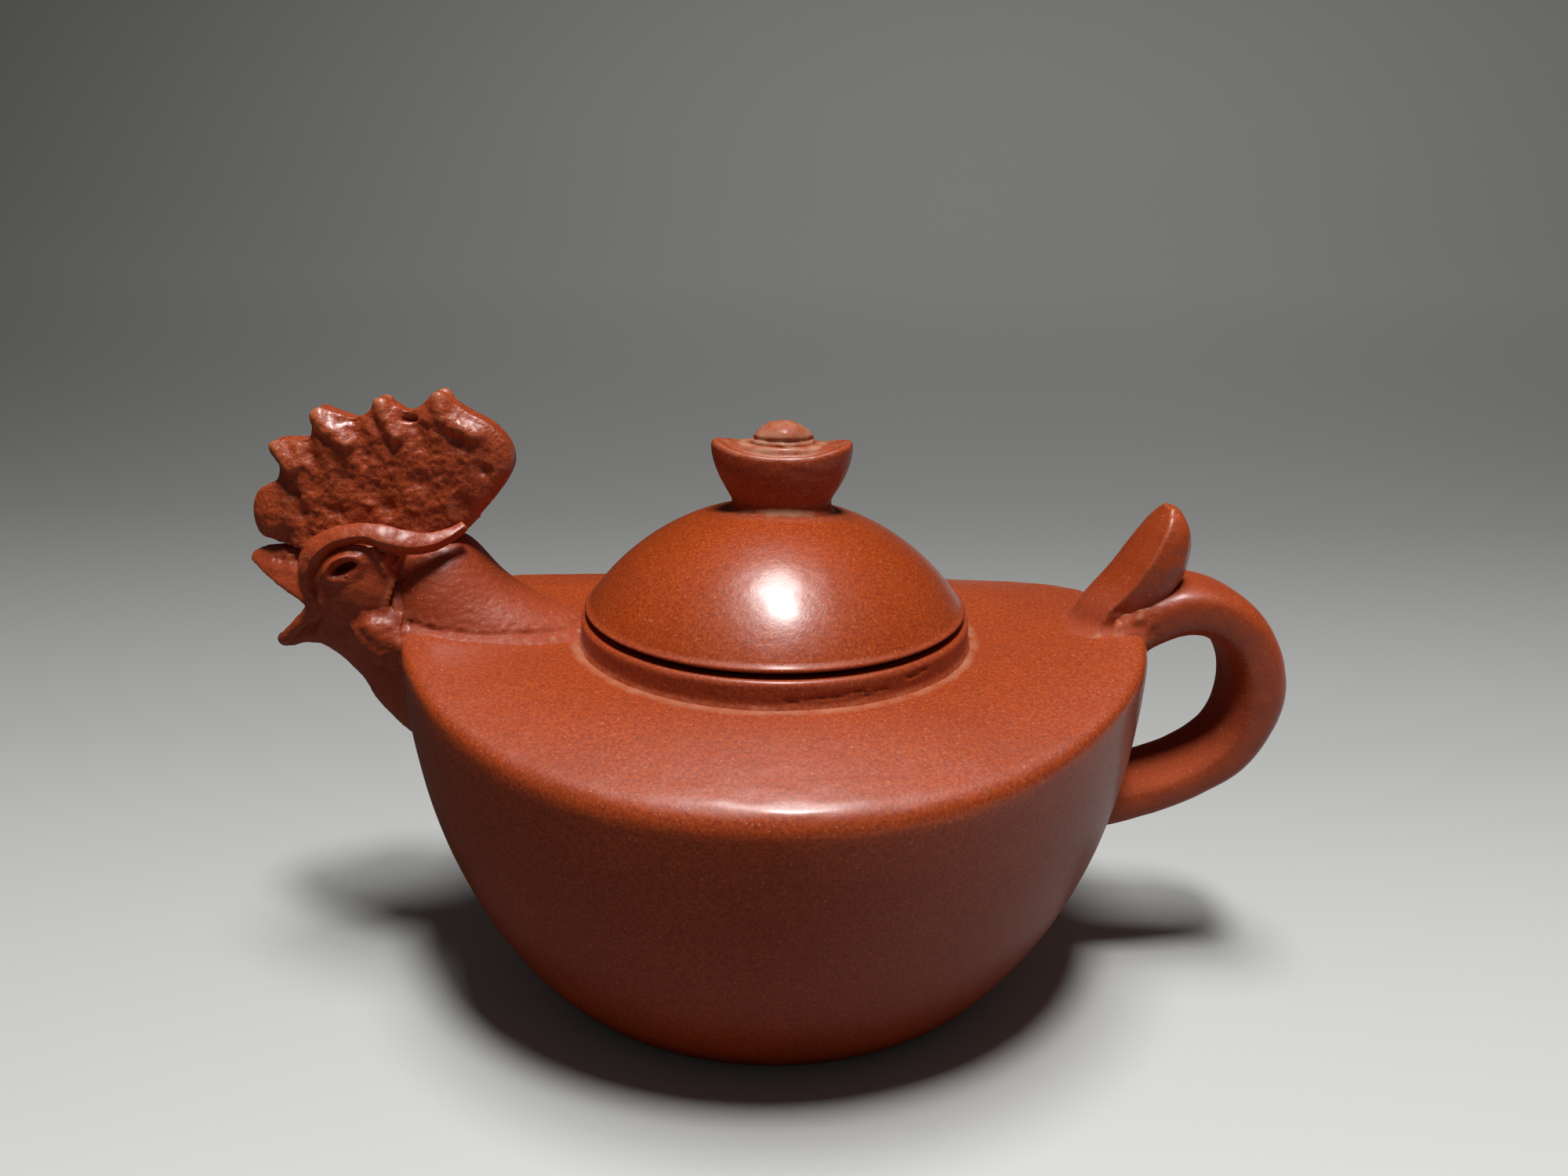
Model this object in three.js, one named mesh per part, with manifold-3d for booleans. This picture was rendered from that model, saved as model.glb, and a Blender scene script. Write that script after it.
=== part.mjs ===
// Red clay teapot, in millimetres, +Z up. The origin is the centre of the flat underside.
// +X runs towards the handle, and the rooster-head spout points along -X.
import * as THREE from 'three';
import { mergeVertices } from 'three/addons/utils/BufferGeometryUtils.js';
import Module from 'manifold-3d';

const wasm = await Module();
wasm.setup();

// Body
const seamHeight = 64; // table to the lower edge of the lid
const bodyLength = 119.2; // outside, at the shoulder
const bodyWidth = 104;
const footLength = 75;
const footWidth = 65;
const bellyPower = 2.25; // how high up the wall the belly swells
const bellyRound = 1.25; // how full the turn is above the foot
const wallThickness = 3.6;
const baseThickness = 4;
const shoulderThickness = 4.5;
const footRound = 0.8;
const edgeRadius = 4.2; // rounded edge between shoulder and wall
const rimEndDrop = 1; // shoulder edge below the seam, at the spout and the handle
const rimSideDrop = 10.6; // the same at the front and back, where the saddle dips
const saddlePower = 3; // how sharply the edge sweeps up at its two ends
const saddleBow = 1.4; // how late the shoulder turns down towards its edge
const wallSpread = 1.3; // how closely the wall's rings lie near the foot, where it turns most

// Mouth and lid
const collarRadius = 31.4;
const collarHeight = 4.2;
const collarWall = 3.6;
const collarRound = 0.9;
const collarLandMargin = 0.8; // flat land round the collar
const lidInset = 0.4; // the lid's edge lies this far inside the collar's
const domeRise = 17.1;
const domeThickness = 3.2;
const lidEdgeRound = 1.2;
const lidLip = [[0.25, 1], [0, 0.6], [0.5, 0]]; // inset and height of the edge, in shares of its rounding
const flangeHeight = 7;
const flangeThickness = 2.6;
const flangeLeadIn = 0.6; // the flange narrows at its foot, to find the mouth
const flangeLeadHeight = 1;
const lidSeatGap = 0.4; // between collar and lid, where a dark line shows
const flangeClearance = 0.6; // between flange and collar, all round
const ventRadius = 1;
const ventBehindKnob = 9.5; // air hole, behind the knob's foot

// Knob, shaped like a boat-shaped ingot with an egg lying in it
const knobLength = 22.2;
const knobWidth = 13.5;
const knobFootLength = 15.9;
const knobFootWidth = 10.4;
const knobTipRise = 9.8; // foot to the two raised tips
const knobWaistRise = 8.3; // foot to the middle of the rim
const knobFoot = 0.9; // height of the upright foot
const knobSink = 4; // how far the knob's foot is carried down before the dome trims it
const knobTipPower = 2.5; // how sharply the rim sweeps up to the tips
const knobTop = [
  { narrower: [1.6, 1.6], rise: 0.5, tipShare: 1 },
  { narrower: [4.6, 3.2], rise: 0.5, tipShare: 0.6 },
  { narrower: [7.4, 4.2], rise: 1.5, tipShare: 0 },
]; // rounded rim and the low pad under the egg: length and width taken off, and height over the waist
const eggLength = 10;
const eggWidth = 7.6;
const eggHeight = 7.8;
const eggTop = 13.3; // above the knob's foot
const knobShift = 0.8; // the knob sits a little towards the handle

// Spout
const boreAtWall = 5; // radius of the pouring channel
const boreAtBeak = 3.6;
const boreTaperShare = 0.62; // share of the channel over which it narrows
const strainerRadius = 8.4;
const strainerThickness = 2.4;
const strainerHole = 0.95;
const strainerPitch = 2.6;
const strainerRings = 2;
const combThickness = 7;
const combRound = 2.2;
const combInset = 1; // how far the comb's outline is drawn in by its rounding
const eyeLength = 8.4;
const eyeHeight = 5;
const eyeDepth = 3.4;
const eyeTilt = 0.28; // radians, the rear corner raised
const pitLength = 4.4;
const pitHeight = 2.2;
const pitDepth = 3;

const lutingGap = 0.3; // left between pieces that are joined with slip
const bodySides = 48;
const lidSides = 40;
const roundShare = 0.3; // a small rounding in two straight steps turns at this share of its size

const clays = {
  body: new THREE.MeshStandardMaterial({ color: 0x8f3a1e, roughness: 0.5, metalness: 0 }),
  shoulder: new THREE.MeshStandardMaterial({ color: 0xa5451f, roughness: 0.48, metalness: 0 }),
  lid: new THREE.MeshStandardMaterial({ color: 0xa0421f, roughness: 0.42, metalness: 0 }),
  knob: new THREE.MeshStandardMaterial({ color: 0x94391d, roughness: 0.5, metalness: 0 }),
  spout: new THREE.MeshStandardMaterial({ color: 0x86341c, roughness: 0.6, metalness: 0 }),
  comb: new THREE.MeshStandardMaterial({ color: 0x7d2d18, roughness: 0.55, metalness: 0 }),
  handle: new THREE.MeshStandardMaterial({ color: 0x94391d, roughness: 0.5, metalness: 0 }),
  inside: new THREE.MeshStandardMaterial({ color: 0x8c4126, roughness: 0.8, metalness: 0 }),
};

const teapot = new THREE.Group();

function addPiece(name, geometry, clay) {
  const finished = geometry.index ? geometry : mergeVertices(geometry);
  finished.computeVertexNormals();
  const piece = new THREE.Mesh(finished, clay.clone());
  piece.name = name;
  teapot.add(piece);
}

// Signed volume of an indexed closed mesh: negative when its faces point inwards.
function signedVolume(points, faces) {
  let sum = 0;
  for (let i = 0; i < faces.length; i += 3) {
    const a = points[faces[i]];
    const b = points[faces[i + 1]];
    const c = points[faces[i + 2]];
    sum += a.dot(new THREE.Vector3().crossVectors(b, c));
  }
  return sum / 6;
}

function meshOf(points, faces) {
  if (signedVolume(points, faces) < 0) {
    faces.reverse();
  }
  const geometry = new THREE.BufferGeometry().setFromPoints(points);
  geometry.setIndex(faces);
  return geometry;
}

// A skin through closed rings of equal length, shut by a fan at each end.
function loft(rings) {
  const sides = rings[0].length;
  const points = rings.flat();
  const faces = [];
  for (let i = 0; i < rings.length - 1; i++) {
    for (let j = 0; j < sides; j++) {
      const a = i * sides + j;
      const b = i * sides + ((j + 1) % sides);
      faces.push(a, b, b + sides, a, b + sides, a + sides);
    }
  }
  for (const end of [0, rings.length - 1]) {
    const centre = rings[end].reduce((sum, p) => sum.add(p), new THREE.Vector3()).divideScalar(sides);
    const hub = points.push(centre) - 1;
    for (let j = 0; j < sides; j++) {
      const a = end * sides + j;
      const b = end * sides + ((j + 1) % sides);
      if (end === 0) {
        faces.push(hub, b, a);
      } else {
        faces.push(hub, a, b);
      }
    }
  }
  return meshOf(points, faces);
}

// A closed ring: the section at each angle is itself a closed loop of points.
function ringLoft(sectionAt, sides) {
  const points = [];
  const faces = [];
  for (let j = 0; j < sides; j++) {
    points.push(...sectionAt((2 * Math.PI * j) / sides));
  }
  const count = points.length / sides;
  for (let j = 0; j < sides; j++) {
    const next = (j + 1) % sides;
    for (let i = 0; i < count; i++) {
      const up = (i + 1) % count;
      const a = j * count + i;
      const b = next * count + i;
      const c = next * count + up;
      const d = j * count + up;
      faces.push(a, b, c, a, c, d);
    }
  }
  return meshOf(points, faces);
}

// Shared corners merged, and faces that have shrunk to a line left out.
function weld(geometry) {
  const bare = geometry.clone();
  bare.deleteAttribute('normal');
  bare.deleteAttribute('uv');
  const merged = mergeVertices(bare);
  const index = merged.index.array;
  const faces = [];
  for (let i = 0; i < index.length; i += 3) {
    const corners = [index[i], index[i + 1], index[i + 2]];
    if (new Set(corners).size === 3) {
      faces.push(...corners);
    }
  }
  merged.setIndex(faces);
  return merged;
}

function solidOf(geometry) {
  const welded = weld(geometry);
  return new wasm.Manifold(new wasm.Mesh({
    numProp: 3,
    vertProperties: new Float32Array(welded.attributes.position.array),
    triVerts: new Uint32Array(welded.index.array),
  }));
}

function cut(geometry, ...cutters) {
  let solid = solidOf(geometry);
  for (const cutter of cutters) {
    solid = solid.subtract(solidOf(cutter));
  }
  return geometryOf(solid);
}

function geometryOf(solid) {
  const mesh = solid.getMesh();
  const geometry = new THREE.BufferGeometry();
  geometry.setAttribute('position', new THREE.BufferAttribute(new Float32Array(mesh.vertProperties), 3));
  geometry.setIndex(Array.from(mesh.triVerts));
  return geometry;
}

// Stations are ovals in planes square to the pot's middle plane. Each is given by its two
// ends in that plane, [x, z], and half its width across the pot. The widest place is halfway
// between the two ends, unless widestAt gives another share of the way from low to high.
function smoothStations(stations, count) {
  const through = (pick) => new THREE.CatmullRomCurve3(stations.map(pick));
  const low = through((s) => new THREE.Vector3(s.low[0], 0, s.low[1]));
  const high = through((s) => new THREE.Vector3(s.high[0], 0, s.high[1]));
  const width = through((s) => new THREE.Vector3(0, s.halfWidth, 0));
  return Array.from({ length: count }, (_, i) => {
    const t = i / (count - 1);
    return { low: low.getPoint(t), high: high.getPoint(t), halfWidth: width.getPoint(t).y };
  });
}

function ovalRing({ low, high, halfWidth }, { sides, squareness, widestAt, grow }) {
  const widest = new THREE.Vector3().lerpVectors(low, high, widestAt);
  const along = new THREE.Vector3().subVectors(high, low);
  const upper = along.length() * (1 - widestAt) + grow;
  const lower = along.length() * widestAt + grow;
  along.normalize();
  const bend = (value) => Math.sign(value) * Math.abs(value) ** (2 / squareness);
  return Array.from({ length: sides }, (_, j) => {
    const angle = (2 * Math.PI * j) / sides;
    const reach = Math.cos(angle) < 0 ? lower : upper;
    const point = widest.clone().addScaledVector(along, reach * bend(Math.cos(angle)));
    point.y += (halfWidth + grow) * bend(Math.sin(angle));
    return point;
  });
}

function ovalLoft(stations, form = {}) {
  const { count = 9, sides = 16, squareness = 2, widestAt = 0.5, grow = 0, offset = 0 } = form;
  const section = { sides, squareness, widestAt, grow };
  const rings = smoothStations(stations, count).map((s) => ovalRing(s, section));
  const shift = new THREE.Vector3(0, offset, 0);
  rings.forEach((ring) => ring.forEach((point) => point.add(shift)));
  return loft(rings);
}

// A tapering round rod through points, for rolls and for the pouring channel.
function rod(points, radii, { count, sides }) {
  const path = new THREE.CatmullRomCurve3(points);
  const size = new THREE.CatmullRomCurve3(radii.map((r) => new THREE.Vector3(r, 0, 0)));
  const across = new THREE.Vector3(0, 1, 0);
  const rings = Array.from({ length: count }, (_, i) => {
    const t = i / (count - 1);
    const centre = path.getPoint(t);
    const radius = size.getPoint(t).x;
    const tangent = path.getTangent(t);
    const up = new THREE.Vector3().crossVectors(tangent, across).normalize();
    const side = new THREE.Vector3().crossVectors(up, tangent).normalize();
    return Array.from({ length: sides }, (__, j) => {
      const angle = (2 * Math.PI * j) / sides;
      const point = centre.clone().addScaledVector(up, radius * Math.cos(angle));
      return point.addScaledVector(side, radius * Math.sin(angle));
    });
  });
  return loft(rings);
}

// Body: an oval bowl that swells from the foot, under a saddle-shaped shoulder.
const rimEndHeight = seamHeight - rimEndDrop;
const collarBase = seamHeight - lidSeatGap - collarHeight;
const collarLand = collarRadius + collarLandMargin;
const boreRadius = collarRadius - collarWall;

function bellyShare(z) {
  const s = Math.min(Math.max(z / rimEndHeight, 0), 1);
  return (1 - (1 - s) ** bellyPower) ** (1 / bellyRound);
}

function wallPoint(angle, z, inset) {
  const share = bellyShare(z);
  const halfLength = THREE.MathUtils.lerp(footLength, bodyLength, share) / 2 - inset;
  const halfWidth = THREE.MathUtils.lerp(footWidth, bodyWidth, share) / 2 - inset;
  return new THREE.Vector3(halfLength * Math.cos(angle), halfWidth * Math.sin(angle), z);
}

function rimHeight(angle) {
  const sweep = (rimSideDrop - rimEndDrop) * Math.abs(Math.cos(angle)) ** saddlePower;
  return seamHeight - rimSideDrop + sweep;
}

// A point of the shoulder's upper face: share 0 at the collar's land, 1 where the edge turns down.
function shoulderPoint(angle, share) {
  const rim = rimHeight(angle);
  const outer = wallPoint(angle, rim - edgeRadius, edgeRadius);
  const inner = new THREE.Vector3(collarLand * Math.cos(angle), collarLand * Math.sin(angle), collarBase);
  const z = THREE.MathUtils.lerp(collarBase, rim, share ** saddleBow);
  return inner.lerp(outer, share).setZ(z);
}

function edgePoint(angle, turn) {
  const inset = edgeRadius * (1 - Math.cos(turn));
  const rim = rimHeight(angle);
  const point = wallPoint(angle, rim - edgeRadius, inset);
  return point.setZ(rim - edgeRadius * (1 - Math.sin(turn)));
}

function steps(count, from = 0, to = 1) {
  return Array.from({ length: count + 1 }, (_, i) => THREE.MathUtils.lerp(from, to, i / count));
}

function bodyWall(grow = 0) {
  const section = (angle) => {
    const top = rimHeight(angle) - shoulderThickness - lutingGap;
    const levels = steps(8).map((t) => THREE.MathUtils.lerp(baseThickness, top, t ** wallSpread));
    const outside = levels.map((z) => wallPoint(angle, z, 0));
    const inside = levels.map((z) => wallPoint(angle, z, wallThickness + grow)).reverse();
    return [...outside, ...inside];
  };
  return ringLoft(section, bodySides);
}

function baseSlab() {
  const levels = [
    [0, footRound],
    [footRound * roundShare, footRound * roundShare],
    [footRound, 0],
    [baseThickness / 2, 0],
    [baseThickness, 0],
  ];
  const ringAt = ([z, inset]) => Array.from({ length: bodySides }, (_, j) => (
    wallPoint((2 * Math.PI * j) / bodySides, z, inset)));
  return loft(levels.map(ringAt));
}

function shoulderPlate() {
  const section = (angle) => {
    const top = steps(5, 0, 1).map((share) => shoulderPoint(angle, share));
    const edge = steps(4, Math.PI / 2, 0).slice(1).map((turn) => edgePoint(angle, turn));
    const under = steps(3, 1, 0).map((share) => {
      const point = shoulderPoint(angle, share);
      return point.setZ(point.z - shoulderThickness);
    });
    const outerFoot = wallPoint(angle, rimHeight(angle) - shoulderThickness, 0);
    const bore = (z) => new THREE.Vector3(boreRadius * Math.cos(angle), boreRadius * Math.sin(angle), z);
    return [bore(collarBase), ...top, ...edge, outerFoot, ...under, bore(collarBase - shoulderThickness)];
  };
  return ringLoft(section, bodySides);
}

// The whole outside of the body as one solid, for cutting what is luted onto it.
function bodyEnvelope(grow) {
  const angles = Array.from({ length: bodySides }, (_, j) => (2 * Math.PI * j) / bodySides);
  const wallRing = (t) => angles.map((angle) => {
    const top = rimHeight(angle) - edgeRadius;
    return wallPoint(angle, top * t, -grow);
  });
  const edgeRing = (turn) => angles.map((angle) => {
    const point = edgePoint(angle, turn);
    const outwards = new THREE.Vector3(Math.cos(angle), Math.sin(angle), 0);
    point.addScaledVector(outwards, grow * Math.cos(turn));
    return point.setZ(point.z + grow * Math.sin(turn));
  });
  const topRing = (share) => angles.map((angle) => {
    const point = shoulderPoint(angle, share);
    return point.setZ(point.z + grow);
  });
  return loft([
    ...steps(8).map(wallRing),
    ...steps(4, 0, Math.PI / 2).slice(1).map(edgeRing),
    ...steps(5, 1, 0).slice(1).map(topRing),
  ]);
}

function lathe(profile, sides) {
  const geometry = new THREE.LatheGeometry(profile.map(([r, z]) => new THREE.Vector2(r, z)), sides);
  geometry.rotateX(Math.PI / 2);
  const welded = weld(geometry);
  const points = [];
  for (let i = 0; i < welded.attributes.position.count; i++) {
    points.push(new THREE.Vector3().fromBufferAttribute(welded.attributes.position, i));
  }
  return meshOf(points, Array.from(welded.index.array));
}

function collar() {
  const top = collarBase + collarHeight;
  const profile = [
    [boreRadius, collarBase],
    [collarRadius, collarBase],
    [collarRadius, top - collarRound],
    [collarRadius - collarRound * roundShare, top - collarRound * roundShare],
    [collarRadius - collarRound, top],
    [boreRadius, top],
    [boreRadius, collarBase],
  ];
  return lathe(profile, lidSides);
}

// Lid: a dome, a locating flange under it and the ingot knob on its crown.
const lidRadius = collarRadius - lidInset;
const flangeRadius = boreRadius - flangeClearance;
const domeArc = (lidRadius ** 2 + domeRise ** 2) / (2 * domeRise);
const domeCentre = seamHeight + domeRise - domeArc;
const domeSpread = Math.asin(lidRadius / domeArc);

function domeProfile(grow) {
  const radius = domeArc + grow;
  return steps(9, 0, domeSpread).map((turn) => [
    radius * Math.sin(turn),
    domeCentre + radius * Math.cos(turn),
  ]);
}

function lidDome() {
  const outside = domeProfile(0).slice(0, -1);
  const innerRadius = flangeRadius - flangeThickness;
  const innerArc = domeArc - domeThickness;
  const innerSpread = Math.asin(innerRadius / innerArc);
  const inside = steps(6, innerSpread, 0).map((turn) => [
    innerArc * Math.sin(turn),
    domeCentre + innerArc * Math.cos(turn),
  ]);
  const lip = lidLip.map(([inset, rise]) => [
    lidRadius - lidEdgeRound * inset,
    seamHeight + lidEdgeRound * rise,
  ]);
  const profile = [...outside, ...lip, [innerRadius, seamHeight], ...inside];
  const vent = new THREE.CylinderGeometry(ventRadius, ventRadius, 2 * domeRise, 8);
  vent.rotateX(Math.PI / 2);
  vent.translate(knobShift, ventBehindKnob, seamHeight + domeRise);
  return cut(lathe(profile, lidSides), vent);
}

function lidFlange() {
  const innerRadius = flangeRadius - flangeThickness;
  const low = seamHeight - flangeHeight;
  const profile = [
    [innerRadius, seamHeight],
    [innerRadius, low],
    [flangeRadius - flangeLeadIn, low],
    [flangeRadius, low + flangeLeadHeight],
    [flangeRadius, seamHeight],
    [innerRadius, seamHeight],
  ];
  return lathe(profile, lidSides);
}

const knobBase = seamHeight + domeRise;

function knobIngot() {
  const sides = 28;
  const tipLift = knobTipRise - knobWaistRise;
  const ring = (length, width, height, lift) => Array.from({ length: sides }, (_, j) => {
    const angle = (2 * Math.PI * j) / sides;
    return new THREE.Vector3(
      knobShift + (length / 2) * Math.cos(angle),
      (width / 2) * Math.sin(angle),
      knobBase + height + lift * Math.abs(Math.cos(angle)) ** knobTipPower,
    );
  });
  const swell = steps(5).map((t) => {
    const share = Math.sin((t * Math.PI) / 2);
    return ring(
      THREE.MathUtils.lerp(knobFootLength, knobLength, share),
      THREE.MathUtils.lerp(knobFootWidth, knobWidth, share),
      THREE.MathUtils.lerp(knobFoot, knobWaistRise, t),
      tipLift * t,
    );
  });
  const top = knobTop.map(({ narrower, rise, tipShare }) => (
    ring(knobLength - narrower[0], knobWidth - narrower[1], knobWaistRise + rise, tipLift * tipShare)));
  const foot = ring(knobFootLength, knobFootWidth, -knobSink, 0);
  const domeTop = domeProfile(lutingGap);
  const dome = lathe([...domeTop, [0, domeTop.at(-1)[1]]], lidSides);
  return cut(loft([foot, ...swell, ...top]), dome, eggSolid(lutingGap));
}

function eggSolid(grow = 0) {
  const geometry = new THREE.SphereGeometry(1, 20, 12);
  geometry.rotateX(Math.PI / 2);
  geometry.scale(eggLength / 2 + grow, eggWidth / 2 + grow, eggHeight / 2 + grow);
  geometry.translate(knobShift, 0, knobBase + eggTop - eggHeight / 2);
  return geometry;
}

// Places on the spout are [x, z] from the shoulder's spout end at the height of the seam, and
// places on the handle are the same from the shoulder's other end.
const spoutPlace = ([x, z]) => [x - bodyLength / 2, z + seamHeight];
const handlePlace = ([x, z]) => [x + bodyLength / 2, z + seamHeight];
const placed = (stations, place) => stations.map(({ low, high, halfWidth }) => (
  { low: place(low), high: place(high), halfWidth }));

// Spout: a neck that rises from the shoulder's end, a rooster's head and an open beak. The
// neck's root is carried in under the collar, which trims it.
const neckReach = bodyLength / 2 - collarRadius;
const neckStations = [
  { low: [10.6, -31], high: [neckReach + 7.4, -7.5], halfWidth: 14 },
  { low: [1.1, -24], high: [neckReach - 0.6, -3.2], halfWidth: 13.4 },
  { low: [-4.2, -19.6], high: [16.4, 3.6], halfWidth: 12.2 },
  { low: [-7.8, -15.2], high: [9.6, 10.8], halfWidth: 10.6 },
  { low: [-9.4, -13], high: [3.1, 13], halfWidth: 9.2 },
];
const headStations = [
  { low: [-6.9, -13.6], high: [2.6, 12.6], halfWidth: 9.4 },
  { low: [-10.6, -10.8], high: [-2.4, 14.2], halfWidth: 10 },
  { low: [-13.2, -8.2], high: [-8.4, 14.2], halfWidth: 9.4 },
  { low: [-14.8, -6.6], high: [-13, 12.4], halfWidth: 7.8 },
  { low: [-15.4, -4.4], high: [-15.8, 10], halfWidth: 5.6 },
];
const upperBeakStations = [
  { low: [-11.4, -3.6], high: [-11.4, 11], halfWidth: 6.4 },
  { low: [-15, -1], high: [-15.4, 9.8], halfWidth: 5.8 },
  { low: [-18.4, 1.4], high: [-19.4, 9.3], halfWidth: 4.5 },
  { low: [-22, 3.6], high: [-23, 8.6], halfWidth: 3 },
  { low: [-24.8, 5.6], high: [-25, 7.4], halfWidth: 1.3 },
];
const lowerBeakStations = [
  { low: [-10.4, -10], high: [-10.4, 0], halfWidth: 5.4 },
  { low: [-14.2, -7.3], high: [-15, -0.2], halfWidth: 5.2 },
  { low: [-17, -7], high: [-17.8, -1.6], halfWidth: 4.4 },
  { low: [-19.6, -8.2], high: [-20.4, -4.2], halfWidth: 3.2 },
  { low: [-21.1, -7.6], high: [-21.5, -5.8], halfWidth: 1.6 },
];
const channelPath = [
  [15.6, -23], [4.6, -16], [-0.9, -12], [-6.9, -7.4],
  [-11.9, -3.8], [-16.9, -2], [-24.4, -1.6], [-32.4, -1.6],
].map(spoutPlace).map(([x, z]) => new THREE.Vector3(x, 0, z));

function channel() {
  const radii = steps(channelPath.length - 1).map((t) => (
    THREE.MathUtils.lerp(boreAtWall, boreAtBeak, Math.min(t / boreTaperShare, 1))));
  return rod(channelPath, radii, { count: 14, sides: 14 });
}

const spoutForm = (stations, count, sides, grow) => (
  ovalLoft(placed(stations, spoutPlace), { count, sides, grow }));
const neckForm = (grow) => spoutForm(neckStations, 9, 20, grow);
const headForm = (grow) => spoutForm(headStations, 9, 18, grow);
const upperBeakForm = (grow) => spoutForm(upperBeakStations, 8, 14, grow);
const lowerBeakForm = (grow) => spoutForm(lowerBeakStations, 8, 14, grow);

// The open wedge between the two halves of the beak.
const mouthCorner = [-14.4, -0.2];
const mouthReach = 18;
const mouthUpperSlope = 0.55;
const mouthLowerSlope = 0.8;

function mouthGap() {
  const [x, z] = spoutPlace(mouthCorner);
  const wedge = new THREE.Shape([
    new THREE.Vector2(x, z),
    new THREE.Vector2(x - mouthReach, z + mouthUpperSlope * mouthReach),
    new THREE.Vector2(x - mouthReach, z - mouthLowerSlope * mouthReach),
  ]);
  const geometry = new THREE.ExtrudeGeometry(wedge, { depth: 2 * mouthReach, bevelEnabled: false });
  geometry.translate(0, 0, -mouthReach);
  geometry.rotateX(Math.PI / 2);
  return geometry;
}

// The collar and its mouth as one cylinder, which nothing on the shoulder may reach into.
function collarPlug(grow) {
  const profile = [
    [0, collarBase - shoulderThickness],
    [collarRadius + grow, collarBase - shoulderThickness],
    [collarRadius + grow, seamHeight],
    [0, seamHeight],
  ];
  return lathe(profile, lidSides);
}

const combOutline = [
  [-20.8, 8.4], [-23.4, 11.6], [-23.3, 15], [-21.3, 18.2], [-18.8, 19.8], [-18.4, 22.2], [-19.3, 24.8],
  [-18, 26], [-14.6, 26], [-13, 26.9], [-12.6, 29.6], [-11.2, 31], [-8.6, 30], [-6, 29.4],
  [-4.2, 30.6], [-1.9, 32.5], [0.2, 31.2], [2.2, 30.7], [4.2, 31.8], [6.4, 33.5], [8.6, 32.4],
  [11.4, 30.3], [14.6, 28.4], [17.1, 25.8], [17.7, 22.8], [16.4, 19.4], [13.2, 15.5], [9.6, 11.4],
];

const combRoot = [[-0.4, 8.4], [-14.4, 7.4]]; // hidden in the head

function combForm() {
  const shape = new THREE.Shape();
  const points = combOutline.map(spoutPlace).map(([x, z]) => new THREE.Vector2(x, z));
  shape.moveTo(points[0].x, points[0].y);
  shape.splineThru(points.slice(1));
  combRoot.map(spoutPlace).forEach(([x, z]) => shape.lineTo(x, z));
  shape.closePath();
  const geometry = new THREE.ExtrudeGeometry(shape, {
    depth: combThickness - 2 * combRound,
    bevelThickness: combRound,
    bevelSize: combInset,
    bevelOffset: -combInset,
    bevelSegments: 2,
    curveSegments: 2,
  });
  geometry.translate(0, 0, combRound - combThickness / 2);
  geometry.rotateX(Math.PI / 2);
  return geometry;
}

// Applied features of the head, each side alike. The third number is the distance from the middle.
const browPath = [
  [-13.8, 5.4, 7.4], [-12.6, 8.9, 8.4], [-9.8, 11.7, 9], [-5.4, 13, 9.2], [-1.2, 12.8, 9.2],
  [2.8, 11.8, 8.8], [7, 11.5, 7.4], [11.2, 13.5, 4.8],
];
const browRadii = [1, 1.6, 1.8, 1.8, 1.8, 1.8, 1.6, 1];
const eyePlace = [-6.3, 8.3, 9.2];
const pitPlace = [-6.4, 8.5, 11.2];
const wattleOut = 10.6;

function sidePlace([x, z, out], side) {
  const [placedX, placedZ] = spoutPlace([x, z]);
  return new THREE.Vector3(placedX, side * out, placedZ);
}

function brow(side) {
  return rod(browPath.map((p) => sidePlace(p, side)), browRadii, { count: 16, sides: 8 });
}

function eye(side) {
  const egg = (length, depth, height, place) => {
    const ball = new THREE.SphereGeometry(1, 12, 9);
    ball.scale(length / 2, depth / 2, height / 2);
    ball.rotateY(-eyeTilt);
    ball.translate(...sidePlace(place, side));
    return ball;
  };
  const pit = egg(pitLength, pitDepth, pitHeight, pitPlace);
  return cut(egg(eyeLength, eyeDepth, eyeHeight, eyePlace), pit);
}

const wattleStations = [
  { low: [2.4, -4.4], high: [1.8, -0.4], halfWidth: 0.9 },
  { low: [0.2, -6.6], high: [-1.2, 1.4], halfWidth: 2.4 },
  { low: [-2.4, -7.2], high: [-3.4, 0.9], halfWidth: 2.6 },
  { low: [-5.2, -4.4], high: [-5.6, -1.2], halfWidth: 1.1 },
];

function wattle(side) {
  const stations = placed(wattleStations, spoutPlace);
  return ovalLoft(stations, { count: 7, sides: 12, offset: side * wattleOut });
}

// Pierced clay disc behind the spout's opening, which holds the leaves back.
const strainerHeight = channelPath[1].z;

function strainer() {
  const inside = wallPoint(Math.PI, strainerHeight, wallThickness + lutingGap + strainerThickness);
  const depth = strainerThickness + wallThickness / 2;
  const lengthwise = (radius, sides, length) => {
    const cylinder = new THREE.CylinderGeometry(radius, radius, length, sides);
    cylinder.rotateZ(Math.PI / 2);
    return cylinder;
  };
  const disc = lengthwise(strainerRadius, 28, depth);
  disc.translate(inside.x - depth / 2, 0, strainerHeight);
  const holes = [];
  for (let ring = 0; ring <= strainerRings; ring++) {
    const count = Math.max(1, ring * 6);
    const reach = ring * strainerPitch;
    for (let k = 0; k < count; k++) {
      const angle = (2 * Math.PI * k) / count;
      const hole = lengthwise(strainerHole, 6, 3 * depth);
      hole.translate(inside.x, reach * Math.cos(angle), strainerHeight + reach * Math.sin(angle));
      holes.push(hole);
    }
  }
  return cut(disc, bodyWall(lutingGap), ...holes);
}

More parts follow.
